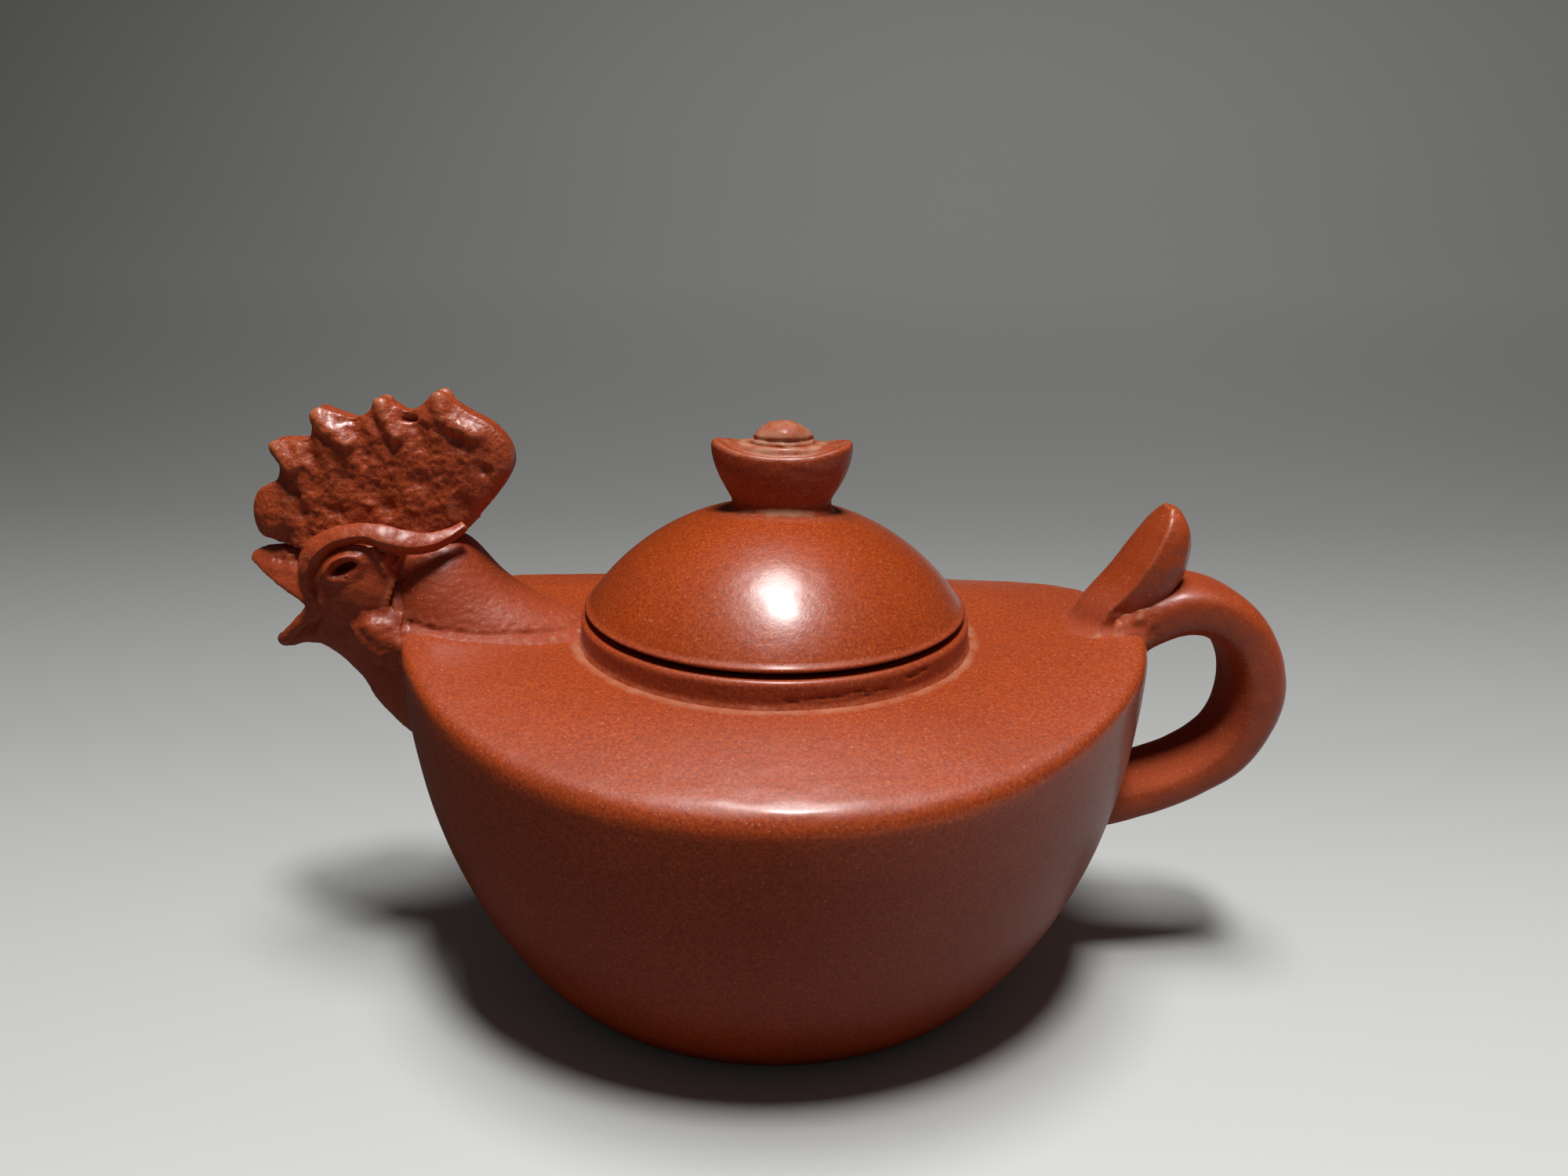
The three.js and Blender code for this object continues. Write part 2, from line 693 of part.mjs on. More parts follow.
// Handle: a thick strap that leaves the shoulder's end and comes back to the wall.
const handleStations = [
  { low: [-6.6, -8.6], high: [-5.6, 2], halfWidth: 7.6 },
  { low: [0.4, -6], high: [1.2, 4.6], halfWidth: 7.4 },
  { low: [4.8, -2.4], high: [5.6, 6.4], halfWidth: 7.3 },
  { low: [10, -2.3], high: [11.6, 5.7], halfWidth: 7.2 },
  { low: [13.8, -5.8], high: [19.4, 1.4], halfWidth: 7.2 },
  { low: [15.5, -10.6], high: [23.9, -6.9], halfWidth: 7.2 },
  { low: [15.6, -14.6], high: [24.4, -14], halfWidth: 7.2 },
  { low: [15, -18], high: [22.8, -20], halfWidth: 7.2 },
  { low: [13.6, -20.9], high: [19.3, -26.1], halfWidth: 7.2 },
  { low: [11, -23.4], high: [13.8, -30.2], halfWidth: 7.3 },
  { low: [7, -25.8], high: [7.2, -33.4], halfWidth: 7.5 },
  { low: [0.8, -28], high: [0.4, -35.8], halfWidth: 7.8 },
  { low: [-7.6, -29.2], high: [-7.6, -37.8], halfWidth: 8.2 },
];
const strapSquareness = 2.4; // 2 would be an oval section
const strapForm = { count: 26, sides: 14, squareness: strapSquareness };
const handleForm = (grow) => ovalLoft(placed(handleStations, handlePlace), { ...strapForm, grow });

// Thumb rest: a thick feather that stands on the shoulder's end. Its flat front ends in a soft
// ridge on each side, and its flanks draw in towards the back.
const featherStations = [
  { low: [-2.6, -9], high: [-11.7, -3.8], halfWidth: 6 },
  { low: [1, -0.6], high: [-9, 2], halfWidth: 6.4 },
  { low: [4.9, 5.3], high: [-5.2, 6.9], halfWidth: 6.8 },
  { low: [6.3, 10.4], high: [-2.2, 11.4], halfWidth: 6.4 },
  { low: [5.9, 14.7], high: [0.5, 15.5], halfWidth: 4.9 },
  { low: [4.2, 17.6], high: [2.3, 17.9], halfWidth: 2.2 },
];
const featherRidgeAt = 0.7; // share of the way from the back to the front
const leafForm = { count: 11, sides: 18, widestAt: featherRidgeAt };
const featherForm = (grow) => ovalLoft(placed(featherStations, handlePlace), { ...leafForm, grow });

addPiece('body_wall', cut(bodyWall(), channel()), clays.body);
addPiece('base_slab', baseSlab(), clays.body);
addPiece('shoulder_plate', shoulderPlate(), clays.shoulder);
addPiece('collar', collar(), clays.shoulder);
addPiece('strainer', strainer(), clays.inside);
addPiece('lid_dome', lidDome(), clays.lid);
addPiece('lid_flange', lidFlange(), clays.lid);
addPiece('knob_ingot', knobIngot(), clays.knob);
addPiece('knob_egg', eggSolid(), clays.knob);
addPiece('neck', cut(neckForm(0), bodyEnvelope(lutingGap), collarPlug(lutingGap), channel()), clays.spout);
addPiece('head', cut(headForm(0), neckForm(lutingGap), channel(), mouthGap()), clays.spout);
addPiece('upper_beak', cut(upperBeakForm(0), headForm(lutingGap), mouthGap(), channel()), clays.spout);
addPiece('lower_beak', cut(lowerBeakForm(0), headForm(lutingGap), mouthGap(), channel()), clays.spout);

const headSupport = [headForm(lutingGap), neckForm(lutingGap)];
addPiece('comb', cut(combForm(), ...headSupport, upperBeakForm(lutingGap)), clays.comb);
for (const [side, word] of [[-1, 'left'], [1, 'right']]) {
  addPiece(`brow_${word}`, cut(brow(side), ...headSupport, combForm()), clays.spout);
  addPiece(`eye_${word}`, cut(eye(side), ...headSupport, brow(side)), clays.spout);
  addPiece(`wattle_${word}`, cut(wattle(side), ...headSupport, bodyEnvelope(lutingGap)), clays.spout);
}
addPiece('tail_feather', cut(featherForm(0), bodyEnvelope(lutingGap)), clays.handle);
addPiece('handle', cut(handleForm(0), bodyEnvelope(lutingGap), featherForm(lutingGap)), clays.handle);

export default teapot;
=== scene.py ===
# Red clay teapot with a rooster-head spout: the surface and finish of every piece
import math
import bpy
import bmesh
import numpy as np
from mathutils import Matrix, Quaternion, Vector, noise
from mathutils.bvhtree import BVHTree


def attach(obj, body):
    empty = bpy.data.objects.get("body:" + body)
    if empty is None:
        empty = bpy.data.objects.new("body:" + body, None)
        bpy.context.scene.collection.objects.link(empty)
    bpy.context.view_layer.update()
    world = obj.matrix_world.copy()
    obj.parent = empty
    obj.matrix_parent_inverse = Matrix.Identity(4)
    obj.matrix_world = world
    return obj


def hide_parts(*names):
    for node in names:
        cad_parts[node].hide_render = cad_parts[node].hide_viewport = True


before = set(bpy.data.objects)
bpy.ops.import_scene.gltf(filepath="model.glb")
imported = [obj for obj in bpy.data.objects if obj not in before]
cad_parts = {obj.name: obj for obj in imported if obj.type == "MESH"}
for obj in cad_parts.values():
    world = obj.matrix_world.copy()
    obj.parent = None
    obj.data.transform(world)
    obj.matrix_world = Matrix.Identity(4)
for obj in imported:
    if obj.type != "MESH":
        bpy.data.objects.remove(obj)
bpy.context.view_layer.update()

mm = 0.001

pot = {
    "length": 119.2, "width": 104, "footLength": 75, "footWidth": 65,
    "seam": 64, "endDrop": 1, "sideDrop": 9, "edge": 4.2, "edgeCrisp": 3.3, "endCrisp": 1.6, "footRound": 0.8,
    "bellyPower": 2.25, "bellyRound": 1.25, "saddlePower": 3.2, "saddleBow": 1.4,
    "wall": 3.6, "base": 4, "shoulder": 4.5, "floorRound": 3,
    "sides": 288,
    # pressed and scraped by hand, and the tool's chatter at the rim
    "hand": [(0.16, 22), (0.05, 6, 2)], "chatter": [(0.07, 2.6, 5, (1.6, 1, 0.5))],
}
collar = {
    "radius": 31.4, "bore": 27.8, "base": 59.4, "height": 4.2, "land": 32.2,
    "hand": [(0.05, 5, 3)], "turning": [(0.04, 1.2, 4, (3, 3, 0.5))],
    # scrapes of the trimming tool: place, height, half length and depth
    "scrapes": [(5, 60.9, 3, 0.4), (10.6, 61.3, 2.4, 0.4), (14.5, 60.9, 1.6, 0.4), (21, 62, 1.2, 0.5)],
}
lid = {"radius": 31, "rise": 17.1, "thickness": 3.2, "flange": 27.2, "flangeWall": 2.6, "flangeHeight": 7,
       "vent": (0.8, 9.5), "hand": [(0.06, 14, 1), (0.02, 4, 2)]}
lid["arc"] = (lid["radius"] ** 2 + lid["rise"] ** 2) / (2 * lid["rise"])
lid["centre"] = pot["seam"] + lid["rise"] - lid["arc"]
lid["top"] = pot["seam"] + lid["rise"]


# Working on one piece at a time

def pick(*pieces):
    if bpy.context.object and bpy.context.object.mode != "OBJECT":
        bpy.ops.object.mode_set(mode="OBJECT")
    bpy.ops.object.select_all(action="DESELECT")
    for piece in pieces:
        piece.select_set(True)
        bpy.context.view_layer.objects.active = pieces[0]


def applied(piece, kind, **settings):
    pick(piece)
    step = piece.modifiers.new(kind.lower(), kind)
    for name, value in settings.items():
        setattr(step, name, value)
    bpy.ops.object.modifier_apply(modifier=step.name)


def named(name):
    piece = bpy.context.object
    piece.name = name
    piece.data.name = name
    return piece


def readPoints(piece, kind):
    flat = np.empty(len(piece.data.vertices) * 3, np.float32)
    piece.data.vertices.foreach_get(kind, flat)
    return flat.reshape(-1, 3).astype(float)


def pointsOf(piece):
    return readPoints(piece, "co") / mm


def normalsOf(piece):
    return readPoints(piece, "normal")


def surfaceOf(piece):
    # its points, the way out at each, and the points' x, y and z on their own
    points = pointsOf(piece)
    return (points, normalsOf(piece), *points.T)


def setPoints(piece, points):
    piece.data.vertices.foreach_set("co", (points * mm).astype(np.float32).ravel())
    piece.data.update()


def turnOut(piece):
    pick(piece)
    bpy.ops.object.mode_set(mode="EDIT")
    bpy.ops.mesh.select_all(action="SELECT")
    bpy.ops.mesh.normals_make_consistent(inside=False)
    bpy.ops.object.mode_set(mode="OBJECT")


def voxelled(piece, size, smooth=0):
    # clay wedged into one lump, then wiped over with a wet finger
    applied(piece, "REMESH", mode="VOXEL", voxel_size=size * mm)
    if smooth:
        applied(piece, "SMOOTH", factor=0.5, iterations=smooth)


def trimmed(piece, *cutters):
    for cutter in cutters:
        applied(piece, "BOOLEAN", operation="DIFFERENCE", object=cutter, solver="EXACT")


def pressed(*pieces):
    pick(*pieces)
    bpy.ops.object.join()
    return bpy.context.object


def thrownAway(*pieces):
    for piece in pieces:
        bpy.data.objects.remove(piece)


def dressed(piece, body, slot, *nodes):
    piece.data.materials.clear()
    piece.data.materials.append(finishes[slot])
    pick(piece)
    bpy.ops.object.shade_smooth()
    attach(piece, body)
    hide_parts(*nodes)


# Forms: a sphere or a ring whose points are led to their places, by turn and by share along

def unit(value):
    return np.clip(value, 0, 1)


def oval(turn, long, wide, z):
    return np.stack([long * np.cos(turn), wide * np.sin(turn), z + 0 * turn], 1)


def circle(turn, radius, z):
    return oval(turn, radius, radius, z)


def rod(name, sides, radius, long, place):
    bpy.ops.mesh.primitive_cylinder_add(vertices=sides, radius=radius * mm, depth=long * mm,
                                        location=[v * mm for v in place])
    return named(name)


def plate(name, outline, thickness):
    # an outline seen from the side, cut from a slab in the middle plane
    bpy.ops.mesh.primitive_circle_add(vertices=len(outline), radius=1, fill_type="NGON")
    piece = named(name)
    setPoints(piece, np.insert(outline, 1, -thickness / 2, 1))
    pick(piece)
    bpy.ops.object.mode_set(mode="EDIT")
    bpy.ops.mesh.select_all(action="SELECT")
    bpy.ops.mesh.extrude_region_move(TRANSFORM_OT_translate={"value": (0, thickness * mm, 0)})
    turnOut(piece)
    return piece


def bent(name, sides, rows, place):
    # a closed skin: rows run from one pole to the other, and each pole sits in the middle of its row
    bpy.ops.mesh.primitive_uv_sphere_add(segments=sides, ring_count=rows, radius=1)
    piece = named(name)
    start = pointsOf(piece) * mm
    turn = np.arctan2(start[:, 1], start[:, 0])
    row = np.arccos(np.clip(start[:, 2], -1, 1)) / math.pi * rows
    share = unit((row - 1) / (rows - 2))
    points = place(turn, share)
    for pole, end in ((row < 0.5, 0), (row > rows - 0.5, 1)):
        points[pole] = points[~(row < 0.5) & ~(row > rows - 0.5) & (abs(share - end) < 0.1 / rows)].mean(0)
    setPoints(piece, points)
    turnOut(piece)
    return piece


def ring(name, sides, rows, place):
    bpy.ops.mesh.primitive_torus_add(major_segments=sides, minor_segments=rows,
                                     major_radius=1, minor_radius=0.4)
    piece = named(name)
    start = pointsOf(piece) * mm
    turn = np.arctan2(start[:, 1], start[:, 0])
    around = np.arctan2(start[:, 2], np.hypot(start[:, 0], start[:, 1]) - 1)
    setPoints(piece, place(turn, (around / (2 * math.pi)) % 1))
    turnOut(piece)
    return piece


def along(profile, share):
    # points of a bent line, spread evenly over its length
    profile = np.array(profile, float)
    reach = np.concatenate([[0], np.cumsum(np.linalg.norm(np.diff(profile, axis=0), axis=1))])
    at = share * reach[-1]
    return np.stack([np.interp(at, reach, profile[:, k]) for k in range(profile.shape[1])], 1)


def cornered(corners, closed=False, steps=6):
    # a bent line whose corners, given as (r, z, rounding), are rounded off
    spots = [np.array(c[:2], float) for c in corners]
    line = []
    for k, corner in enumerate(corners):
        size = corner[2] if len(corner) > 2 else 0
        if not size or (not closed and k in (0, len(corners) - 1)):
            line.append(spots[k])
            continue
        before = spots[k - 1] - spots[k]
        after = spots[(k + 1) % len(spots)] - spots[k]
        first = spots[k] + before / np.linalg.norm(before) * size
        last = spots[k] + after / np.linalg.norm(after) * size
        for w in np.linspace(0, 1, steps):
            line.append((1 - w) ** 2 * first + 2 * w * (1 - w) * spots[k] + w ** 2 * last)
    return line + [line[0]] if closed else line


def turned(profile):
    def place(turn, share):
        at = along(profile, share)
        return circle(turn, at[:, 0], at[:, 1])
    return place


def curve(points, share):
    # a smooth line through the points, read at shares of its way
    given = np.array(points, float).reshape(len(points), -1)
    padded = np.vstack([2 * given[0] - given[1], given, 2 * given[-1] - given[-2]])
    at = unit(share) * (len(given) - 1)
    k = np.minimum(at.astype(int), len(given) - 2)
    w = (at - k)[:, None]
    a, b, c, d = (padded[k + step] for step in range(4))

    def gap(p, q):
        size = np.linalg.norm(q - p, axis=1) ** 0.5
        return np.where(size < 1e-4, 1, size)[:, None]

    ab, bc, cd = gap(a, b), gap(b, c), gap(c, d)
    leave = ((b - a) / ab - (c - a) / (ab + bc) + (c - b) / bc) * bc
    arrive = ((c - b) / bc - (d - b) / (bc + cd) + (d - c) / cd) * bc
    return b + leave * w + (3 * (c - b) - 2 * leave - arrive) * w ** 2 + (2 * (b - c) + leave + arrive) * w ** 3


def squared(turn, squareness):
    # the two shares of a circle, drawn out towards a square
    return [np.sign(v) * abs(v) ** (2 / squareness) for v in (np.cos(turn), np.sin(turn))]


def lofted(name, stations, sides, rows, squareness=2, offset=0, section=None):
    # a station is (low x, low z, high x, high z, half width): an oval square to the middle plane
    def place(turn, share):
        at = curve(stations, share)
        up, across = section(turn) if section else squared(turn, squareness)
        low, high = at[:, :2], at[:, 2:4]
        spot = (low + high) / 2 + (high - low) / 2 * up[:, None]
        return np.stack([spot[:, 0], offset + at[:, 4] * across, spot[:, 1]], 1)
    return bent(name, sides, rows, place)


def rolled(name, path, radii, sides, rows, squareness=2):
    # a rolled coil of clay along a path, thinning to its ends
    def place(turn, share):
        near = 0.5 / rows
        way = curve(path, np.minimum(share + near, 1)) - curve(path, np.maximum(share - near, 0))
        way /= np.linalg.norm(way, axis=1)[:, None]
        up = np.cross(way, [0, 1, 0])
        up /= np.linalg.norm(up, axis=1)[:, None]
        high, wide = squared(turn, squareness)
        lean = up * high[:, None] + np.cross(up, way) * wide[:, None]
        return curve(path, share) + curve(radii, share) * lean
    return bent(name, sides, rows, place)


# Sculpting: finger, needle and rib, on points in millimetres

def grain(points, size, seed=0, stretch=(1, 1, 1)):
    scaled = points / (size * np.array(stretch)) + seed * 13.7
    return np.array([noise.noise(p) for p in scaled.tolist()])


def worked(points, marks):
    # what hand and tool leave: each mark has a height, a size, a seed and maybe a stretch
    return sum(high * grain(points, *how) for high, *how in marks)


def soft(distance, radius):
    return unit(1 - (distance / radius) ** 2) ** 2


def sideOf(points):
    return points[:, [0, 2]]


def beaten(points, size, seed=0):
    # dents side by side: below zero in the middle of each, above zero on the ridges between them
    bent = points + size * 0.5 * np.stack([grain(points, size * 1.6, seed + k) for k in range(3)], 1)
    cells = (bent / size + seed * 7.3).tolist()
    return np.array([noise.voronoi(p)[0][0] for p in cells]) - 0.5


def evened(piece, values, passes):
    # every point's value drifts towards the mean of its neighbours
    edges = np.empty(len(piece.data.edges) * 2, np.int32)
    piece.data.edges.foreach_get("vertices", edges)
    a, b = edges.reshape(-1, 2).T
    count = len(piece.data.vertices)
    many = np.maximum(np.bincount(edges, minlength=count), 1)
    columns = values.reshape(count, -1).T.copy()
    for step in range(passes):
        for k, column in enumerate(columns):
            around = (np.bincount(a, column[b], count) + np.bincount(b, column[a], count)) / many
            columns[k] = (column + around) / 2
    return columns.T.reshape(values.shape)


def luted(piece, base, reach):
    # clay drawn out into a fillet where a piece meets another; reach may vary by point
    tree = BVHTree.FromPolygons([v.co / mm for v in base.data.vertices],
                                [face.vertices for face in base.data.polygons])
    points, out = pointsOf(piece), normalsOf(piece)
    away = np.full(len(points), 9.0)
    up = np.tile((0.0, 0.0, 1.0), (len(points), 1))
    for k, point in enumerate(points.tolist()):
        spot, facing, face, gap = tree.find_nearest(point, 9)
        if spot is not None:
            away[k] = gap if (Vector(point) - spot).dot(facing) > -0.5 * gap else -gap
            up[k] = facing
    aside = out - (out * up).sum(1)[:, None] * up
    near = np.clip(1 - away / reach, 0, 1.5)
    lean = reach * (1 - np.sqrt(unit(1 - near ** 2)) + unit(near - 1) * 0.5)
    setPoints(piece, points + evened(piece, aside * lean[:, None], 5))


def fromLine(points, line):
    # distance of each point from a bent line, in as many dimensions as the line has
    best = np.full(len(points), 1e9)
    line = np.array(line, float)
    for a, b in zip(line[:-1], line[1:]):
        way = b - a
        w = unit((points - a) @ way / max(way @ way, 1e-9))
        best = np.minimum(best, np.linalg.norm(points - a - w[:, None] * way, axis=1))
    return best


def stroke(points, line, size):
    # drawn from the side: 1 on the line, 0 beyond its size
    return soft(fromLine(sideOf(points), line), size)


def carved(points, strokes, dabs):
    # heights, below zero where it is cut, of lines and of spots that are stretched along x
    high = 0 * points[:, 0]
    for deep, size, *lines in strokes:
        for line in lines:
            high += deep * stroke(points, line, size)
    for deep, size, long, *spots in dabs:
        for x, z in spots:
            high += deep * soft(np.hypot((points[:, 0] - x) / long, points[:, 2] - z), size)
    return high


def finished(piece, push, dust=0, raw=0, relief=1):
    # pushed out by its worked heights, then marked: relief is above zero on ridges and below it in hollows,
    # dust is dry slip, and raw is what the rib never rubbed
    setPoints(piece, pointsOf(piece) + normalsOf(piece) * push[:, None])
    points = pointsOf(piece)
    raised = evened(piece, ((points - evened(piece, points, 1)) * normalsOf(piece)).sum(1), 3)
    for name, amount in (("relief", relief * raised / max(np.std(raised), 1e-6) / 3),
                         ("dust", unit(dust + 0 * push)), ("raw", unit(raw + 0 * push))):
        layer = piece.data.attributes.new(name, "FLOAT", "POINT")
        layer.data.foreach_set("value", amount.astype(np.float32))
    return piece


# The bowl: foot, belly, rounded edge, saddle-shaped shoulder, and the inside

def bellyShare(z):
    low = 1 - unit(z / (pot["seam"] - pot["endDrop"]))
    return (1 - low ** pot["bellyPower"]) ** (1 / pot["bellyRound"])


def wallPoint(turn, z, inset):
    share = bellyShare(z)
    long = (pot["footLength"] + (pot["length"] - pot["footLength"]) * share) / 2 - inset
    wide = (pot["footWidth"] + (pot["width"] - pot["footWidth"]) * share) / 2 - inset
    return oval(turn, long, wide, z)


def rimHeight(turn):
    sweep = (pot["sideDrop"] - pot["endDrop"]) * abs(np.cos(turn)) ** pot["saddlePower"]
    return pot["seam"] - pot["sideDrop"] + sweep


def edgeSlope(turn):
    # how steeply the shoulder falls where its rounded edge takes over
    rim = rimHeight(turn)
    outer = wallPoint(turn, rim - pot["edge"], pot["edge"])
    reach = np.hypot(outer[:, 0], outer[:, 1]) - collar["land"]
    return unit((collar["base"] - rim) * pot["saddleBow"] / reach)


def wallTop(turn):
    return rimHeight(turn) - pot["edge"] * (1 + edgeSlope(turn))


def edgePoint(turn, lean):
    rim, edge = rimHeight(turn), pot["edge"]
    crisp = 2 / (pot["edgeCrisp"] + pot["endCrisp"] * np.cos(turn) ** 2)  # sharper towards the two ends
    outwards = unit(np.cos(lean)) ** crisp
    upwards = unit(np.sin(lean)) ** crisp
    z = rim - edge * (1 - upwards) - edgeSlope(turn) * edge * outwards
    point = wallPoint(turn, np.minimum(z, rim - edge), edge * (1 - outwards))
    point[:, 2] = z
    return point


def shoulderPoint(turn, share, sink=0):
    rim = rimHeight(turn)
    inner = circle(turn, collar["land"], 0)
    point = inner + (wallPoint(turn, rim - pot["edge"], pot["edge"]) - inner) * share[:, None]
    point[:, 2] = collar["base"] + (rim - collar["base"]) * share ** pot["saddleBow"] - sink
    return point


def disc(turn, share, z, inset):
    point = wallPoint(turn, z, inset) * (0.02 + 0.98 * share)[:, None]
    point[:, 2] = z
    return point


def legged(name, sides, legs):
    # each leg is (rows, place); the rows of all legs make up the way from pole to pole
    starts = np.concatenate([[0], np.cumsum([count for count, place in legs])])

    def place(turn, share):
        row = share * starts[-1]
        points = np.zeros((len(turn), 3))
        for k, (count, leg) in enumerate(legs):
            here = (row >= starts[k] - 1e-6) & (row <= starts[k + 1] + 1e-6)
            points[here] = leg(turn[here], unit((row[here] - starts[k]) / count))
        return points
    return bent(name, sides, int(starts[-1]) + 2, place)


def footLeg(turn, w):
    lean = w * math.pi / 2
    point = wallPoint(turn, 0 * turn, pot["footRound"] * (1 - np.sin(lean)))
    point[:, 2] = pot["footRound"] * (1 - np.cos(lean))
    return point


def wallLeg(turn, w):
    low = pot["footRound"]
    return wallPoint(turn, low + (wallTop(turn) - low) * w ** 1.15, 0)


def innerWallLeg(turn, w):
    high = rimHeight(turn) - pot["shoulder"]
    low = pot["base"] + pot["floorRound"]
    z = high + (low - high) * w
    return wallPoint(turn, z, pot["wall"] + 0.6 * unit(1 - (high - z) / 4))


def floorRoundLeg(turn, w):
    size = pot["floorRound"]
    z = pot["base"] + size * (1 - np.sin(w * math.pi / 2))
    return wallPoint(turn, z, pot["wall"] + size * (1 - np.cos(w * math.pi / 2)))


def makeBowl(needle):
    land, bore, base = collar["land"], collar["bore"], collar["base"]
    piece = legged("pot_bowl", pot["sides"], [
        (8, lambda turn, w: disc(turn, w, 0 * turn, pot["footRound"])),
        (5, footLeg),
        (64, wallLeg),
        (22, lambda turn, w: edgePoint(turn, w * math.pi / 2)),
        (44, lambda turn, w: shoulderPoint(turn, 1 - w)),
        (3, lambda turn, w: circle(turn, land + (bore - land) * w, base)),
        (5, lambda turn, w: circle(turn, bore, base - pot["shoulder"] * w)),
        (12, lambda turn, w: shoulderPoint(turn, w, pot["shoulder"])),
        (24, innerWallLeg),
        (6, floorRoundLeg),
        (8, lambda turn, w: disc(turn, 1 - w, pot["base"] + 0 * turn, pot["wall"] + pot["floorRound"])),
    ])
    trimmed(piece, needle)  # the spout's opening through the wall
    points, out, x, y, z = surfaceOf(piece)
    rim = rimHeight(np.arctan2(y / pot["width"], x / pot["length"]))
    chatter = worked(points, pot["chatter"]) * soft(z - rim + 1, 3.5)
    push = (worked(points, pot["hand"]) + chatter) * unit((z - 1) / 6)
    nearCollar = soft(np.hypot(x, y) - collar["radius"] - 0.8, 2.4) * (z > base - 0.5)
    inside = (points * out).sum(1) < -2
    return finished(piece, push, nearCollar * (0.5 + 0.25 * grain(points, 2.4, 9)), inside, 0)


def envelope(name, inset):
    # the bowl as one solid lump, to trim what is luted onto it
    return legged(name, 144, [
        (2, lambda turn, w: disc(turn, w, 0 * turn, 2 + inset)),
        (24, lambda turn, w: wallPoint(turn, 1 + (wallTop(turn) - 1) * w, inset)),
        (8, lambda turn, w: edgePoint(turn, w * math.pi / 2) - inset * circle(turn, math.cos(1), 0.8)),
        (12, lambda turn, w: shoulderPoint(turn, 1 - w, inset)),
        (2, lambda turn, w: circle(turn, collar["land"] * (1 - 0.9 * w), collar["base"] - inset)),
    ])


# The collar round the mouth, with a bead of slip at its foot

def makeCollar():
    radius, bore, base = collar["radius"], collar["bore"], collar["base"]
    top, bead = base + collar["height"], radius + 0.45
    piece = ring("collar_ring", 640, 44, turned(cornered([
        (bore, base - 0.8), (bore, top, 0.5), (radius, top, 0.9), (radius, base + 0.55, 0.4),
        (bead, base + 0.12, 0.2), (bead, base - 0.8)], closed=True)))
    points, out, x, y, z = surfaceOf(piece)
    outside = np.hypot(x, y) > radius - 0.2
    push = worked(points, collar["hand"])
    push += worked(points, collar["turning"]) * soft(z - top + 2, 2.6) * (np.hypot(x, y) > radius - 1)
    for at, high, long, deep in collar["scrapes"]:
        scrape = stroke(points, [(at - long, high - 0.2), (at, high), (at + long, high + 0.25)], 0.34)
        push -= deep * scrape * (y < 0) * (0.7 + 0.9 * grain(points, 0.8, 7))
    foot = soft(z - base - 0.2, 1.1) * outside
    push += foot * 0.1 * grain(points, 1.6, 8)
    crumbs = soft(np.hypot(x + 31, y + 6), 8)
    dust = foot * (0.3 + 0.35 * grain(points, 1.4, 6) + 0.5 * crumbs)
    return finished(piece, push, dust, 0.5 * outside, 0)


# The lid: a dome, the ring under it that finds the mouth, and the knob

def makeDome():
    seam, inner, core = pot["seam"], lid["flange"] - lid["flangeWall"], lid["arc"] - lid["thickness"]

    def shell(radius, *leans):
        return [(radius * math.sin(a), lid["centre"] + radius * math.cos(a)) for a in np.linspace(*leans)]

    outside = shell(lid["arc"], 0.004, math.asin(lid["radius"] / lid["arc"]) * 0.955, 60)
    lip = cornered([outside[-1], (lid["radius"], seam + 0.95, 0.6), (lid["radius"] - 1.7, seam, 0.7),
                    (inner, seam)], steps=10)[1:]
    inside = shell(core, math.asin(inner / core), 0.004, 30)
    piece = bent("lid_dome_skin", 256, 150, turned(outside + lip + inside))
    vent = rod("vent_needle", 32, 1, 30, (*lid["vent"], lid["top"]))
    trimmed(piece, vent)
    thrownAway(vent)
    points, out, x, y, z = surfaceOf(piece)
    foot = np.where(z > 70, np.hypot((x - knob["x"]) / 8.2, y / 5.9), 9) - 1  # how far outside the knob's foot
    dust = soft(foot, 0.22) * (0.4 + 0.4 * grain(points, 1.3, 3))
    raw = np.maximum(soft(foot, 0.45), 0.9 * unit(seam + 1.8 - z))
    return finished(piece, worked(points, lid["hand"]), dust, raw, 0)


def makeFlange():
    high, low = pot["seam"] + 0.5, pot["seam"] - lid["flangeHeight"]
    inner, outer = lid["flange"] - lid["flangeWall"], lid["flange"]
    piece = ring("lid_flange_ring", 256, 40, turned(cornered([
        (inner, high), (inner, low, 0.5), (outer, low, 0.9), (outer, high)], closed=True)))
    return finished(piece, 0.03 * grain(pointsOf(piece), 3, 4), relief=0)


knob = {
    "x": 0.8, "length": 22.2, "width": 13.5, "footLength": 15.9, "footWidth": 10.4,
    "foot": 0.9, "waist": 8.3, "tip": 9.8, "tipPower": 2.5,
    "egg": (10, 7.8, 7.8), "eggTop": 13.3,
    # length and width taken off, height over the waist, and how much of the tips' rise is left
    "top": [(1.2, 1.2, 0.45, 1), (2.6, 2, 0.35, 0.95), (5, 3.4, 0.4, 0.6), (7, 4.2, 1.2, 0.15), (9, 5, 1.5, 0),
            (21.9, 13.4, 1.5, 0)],
}


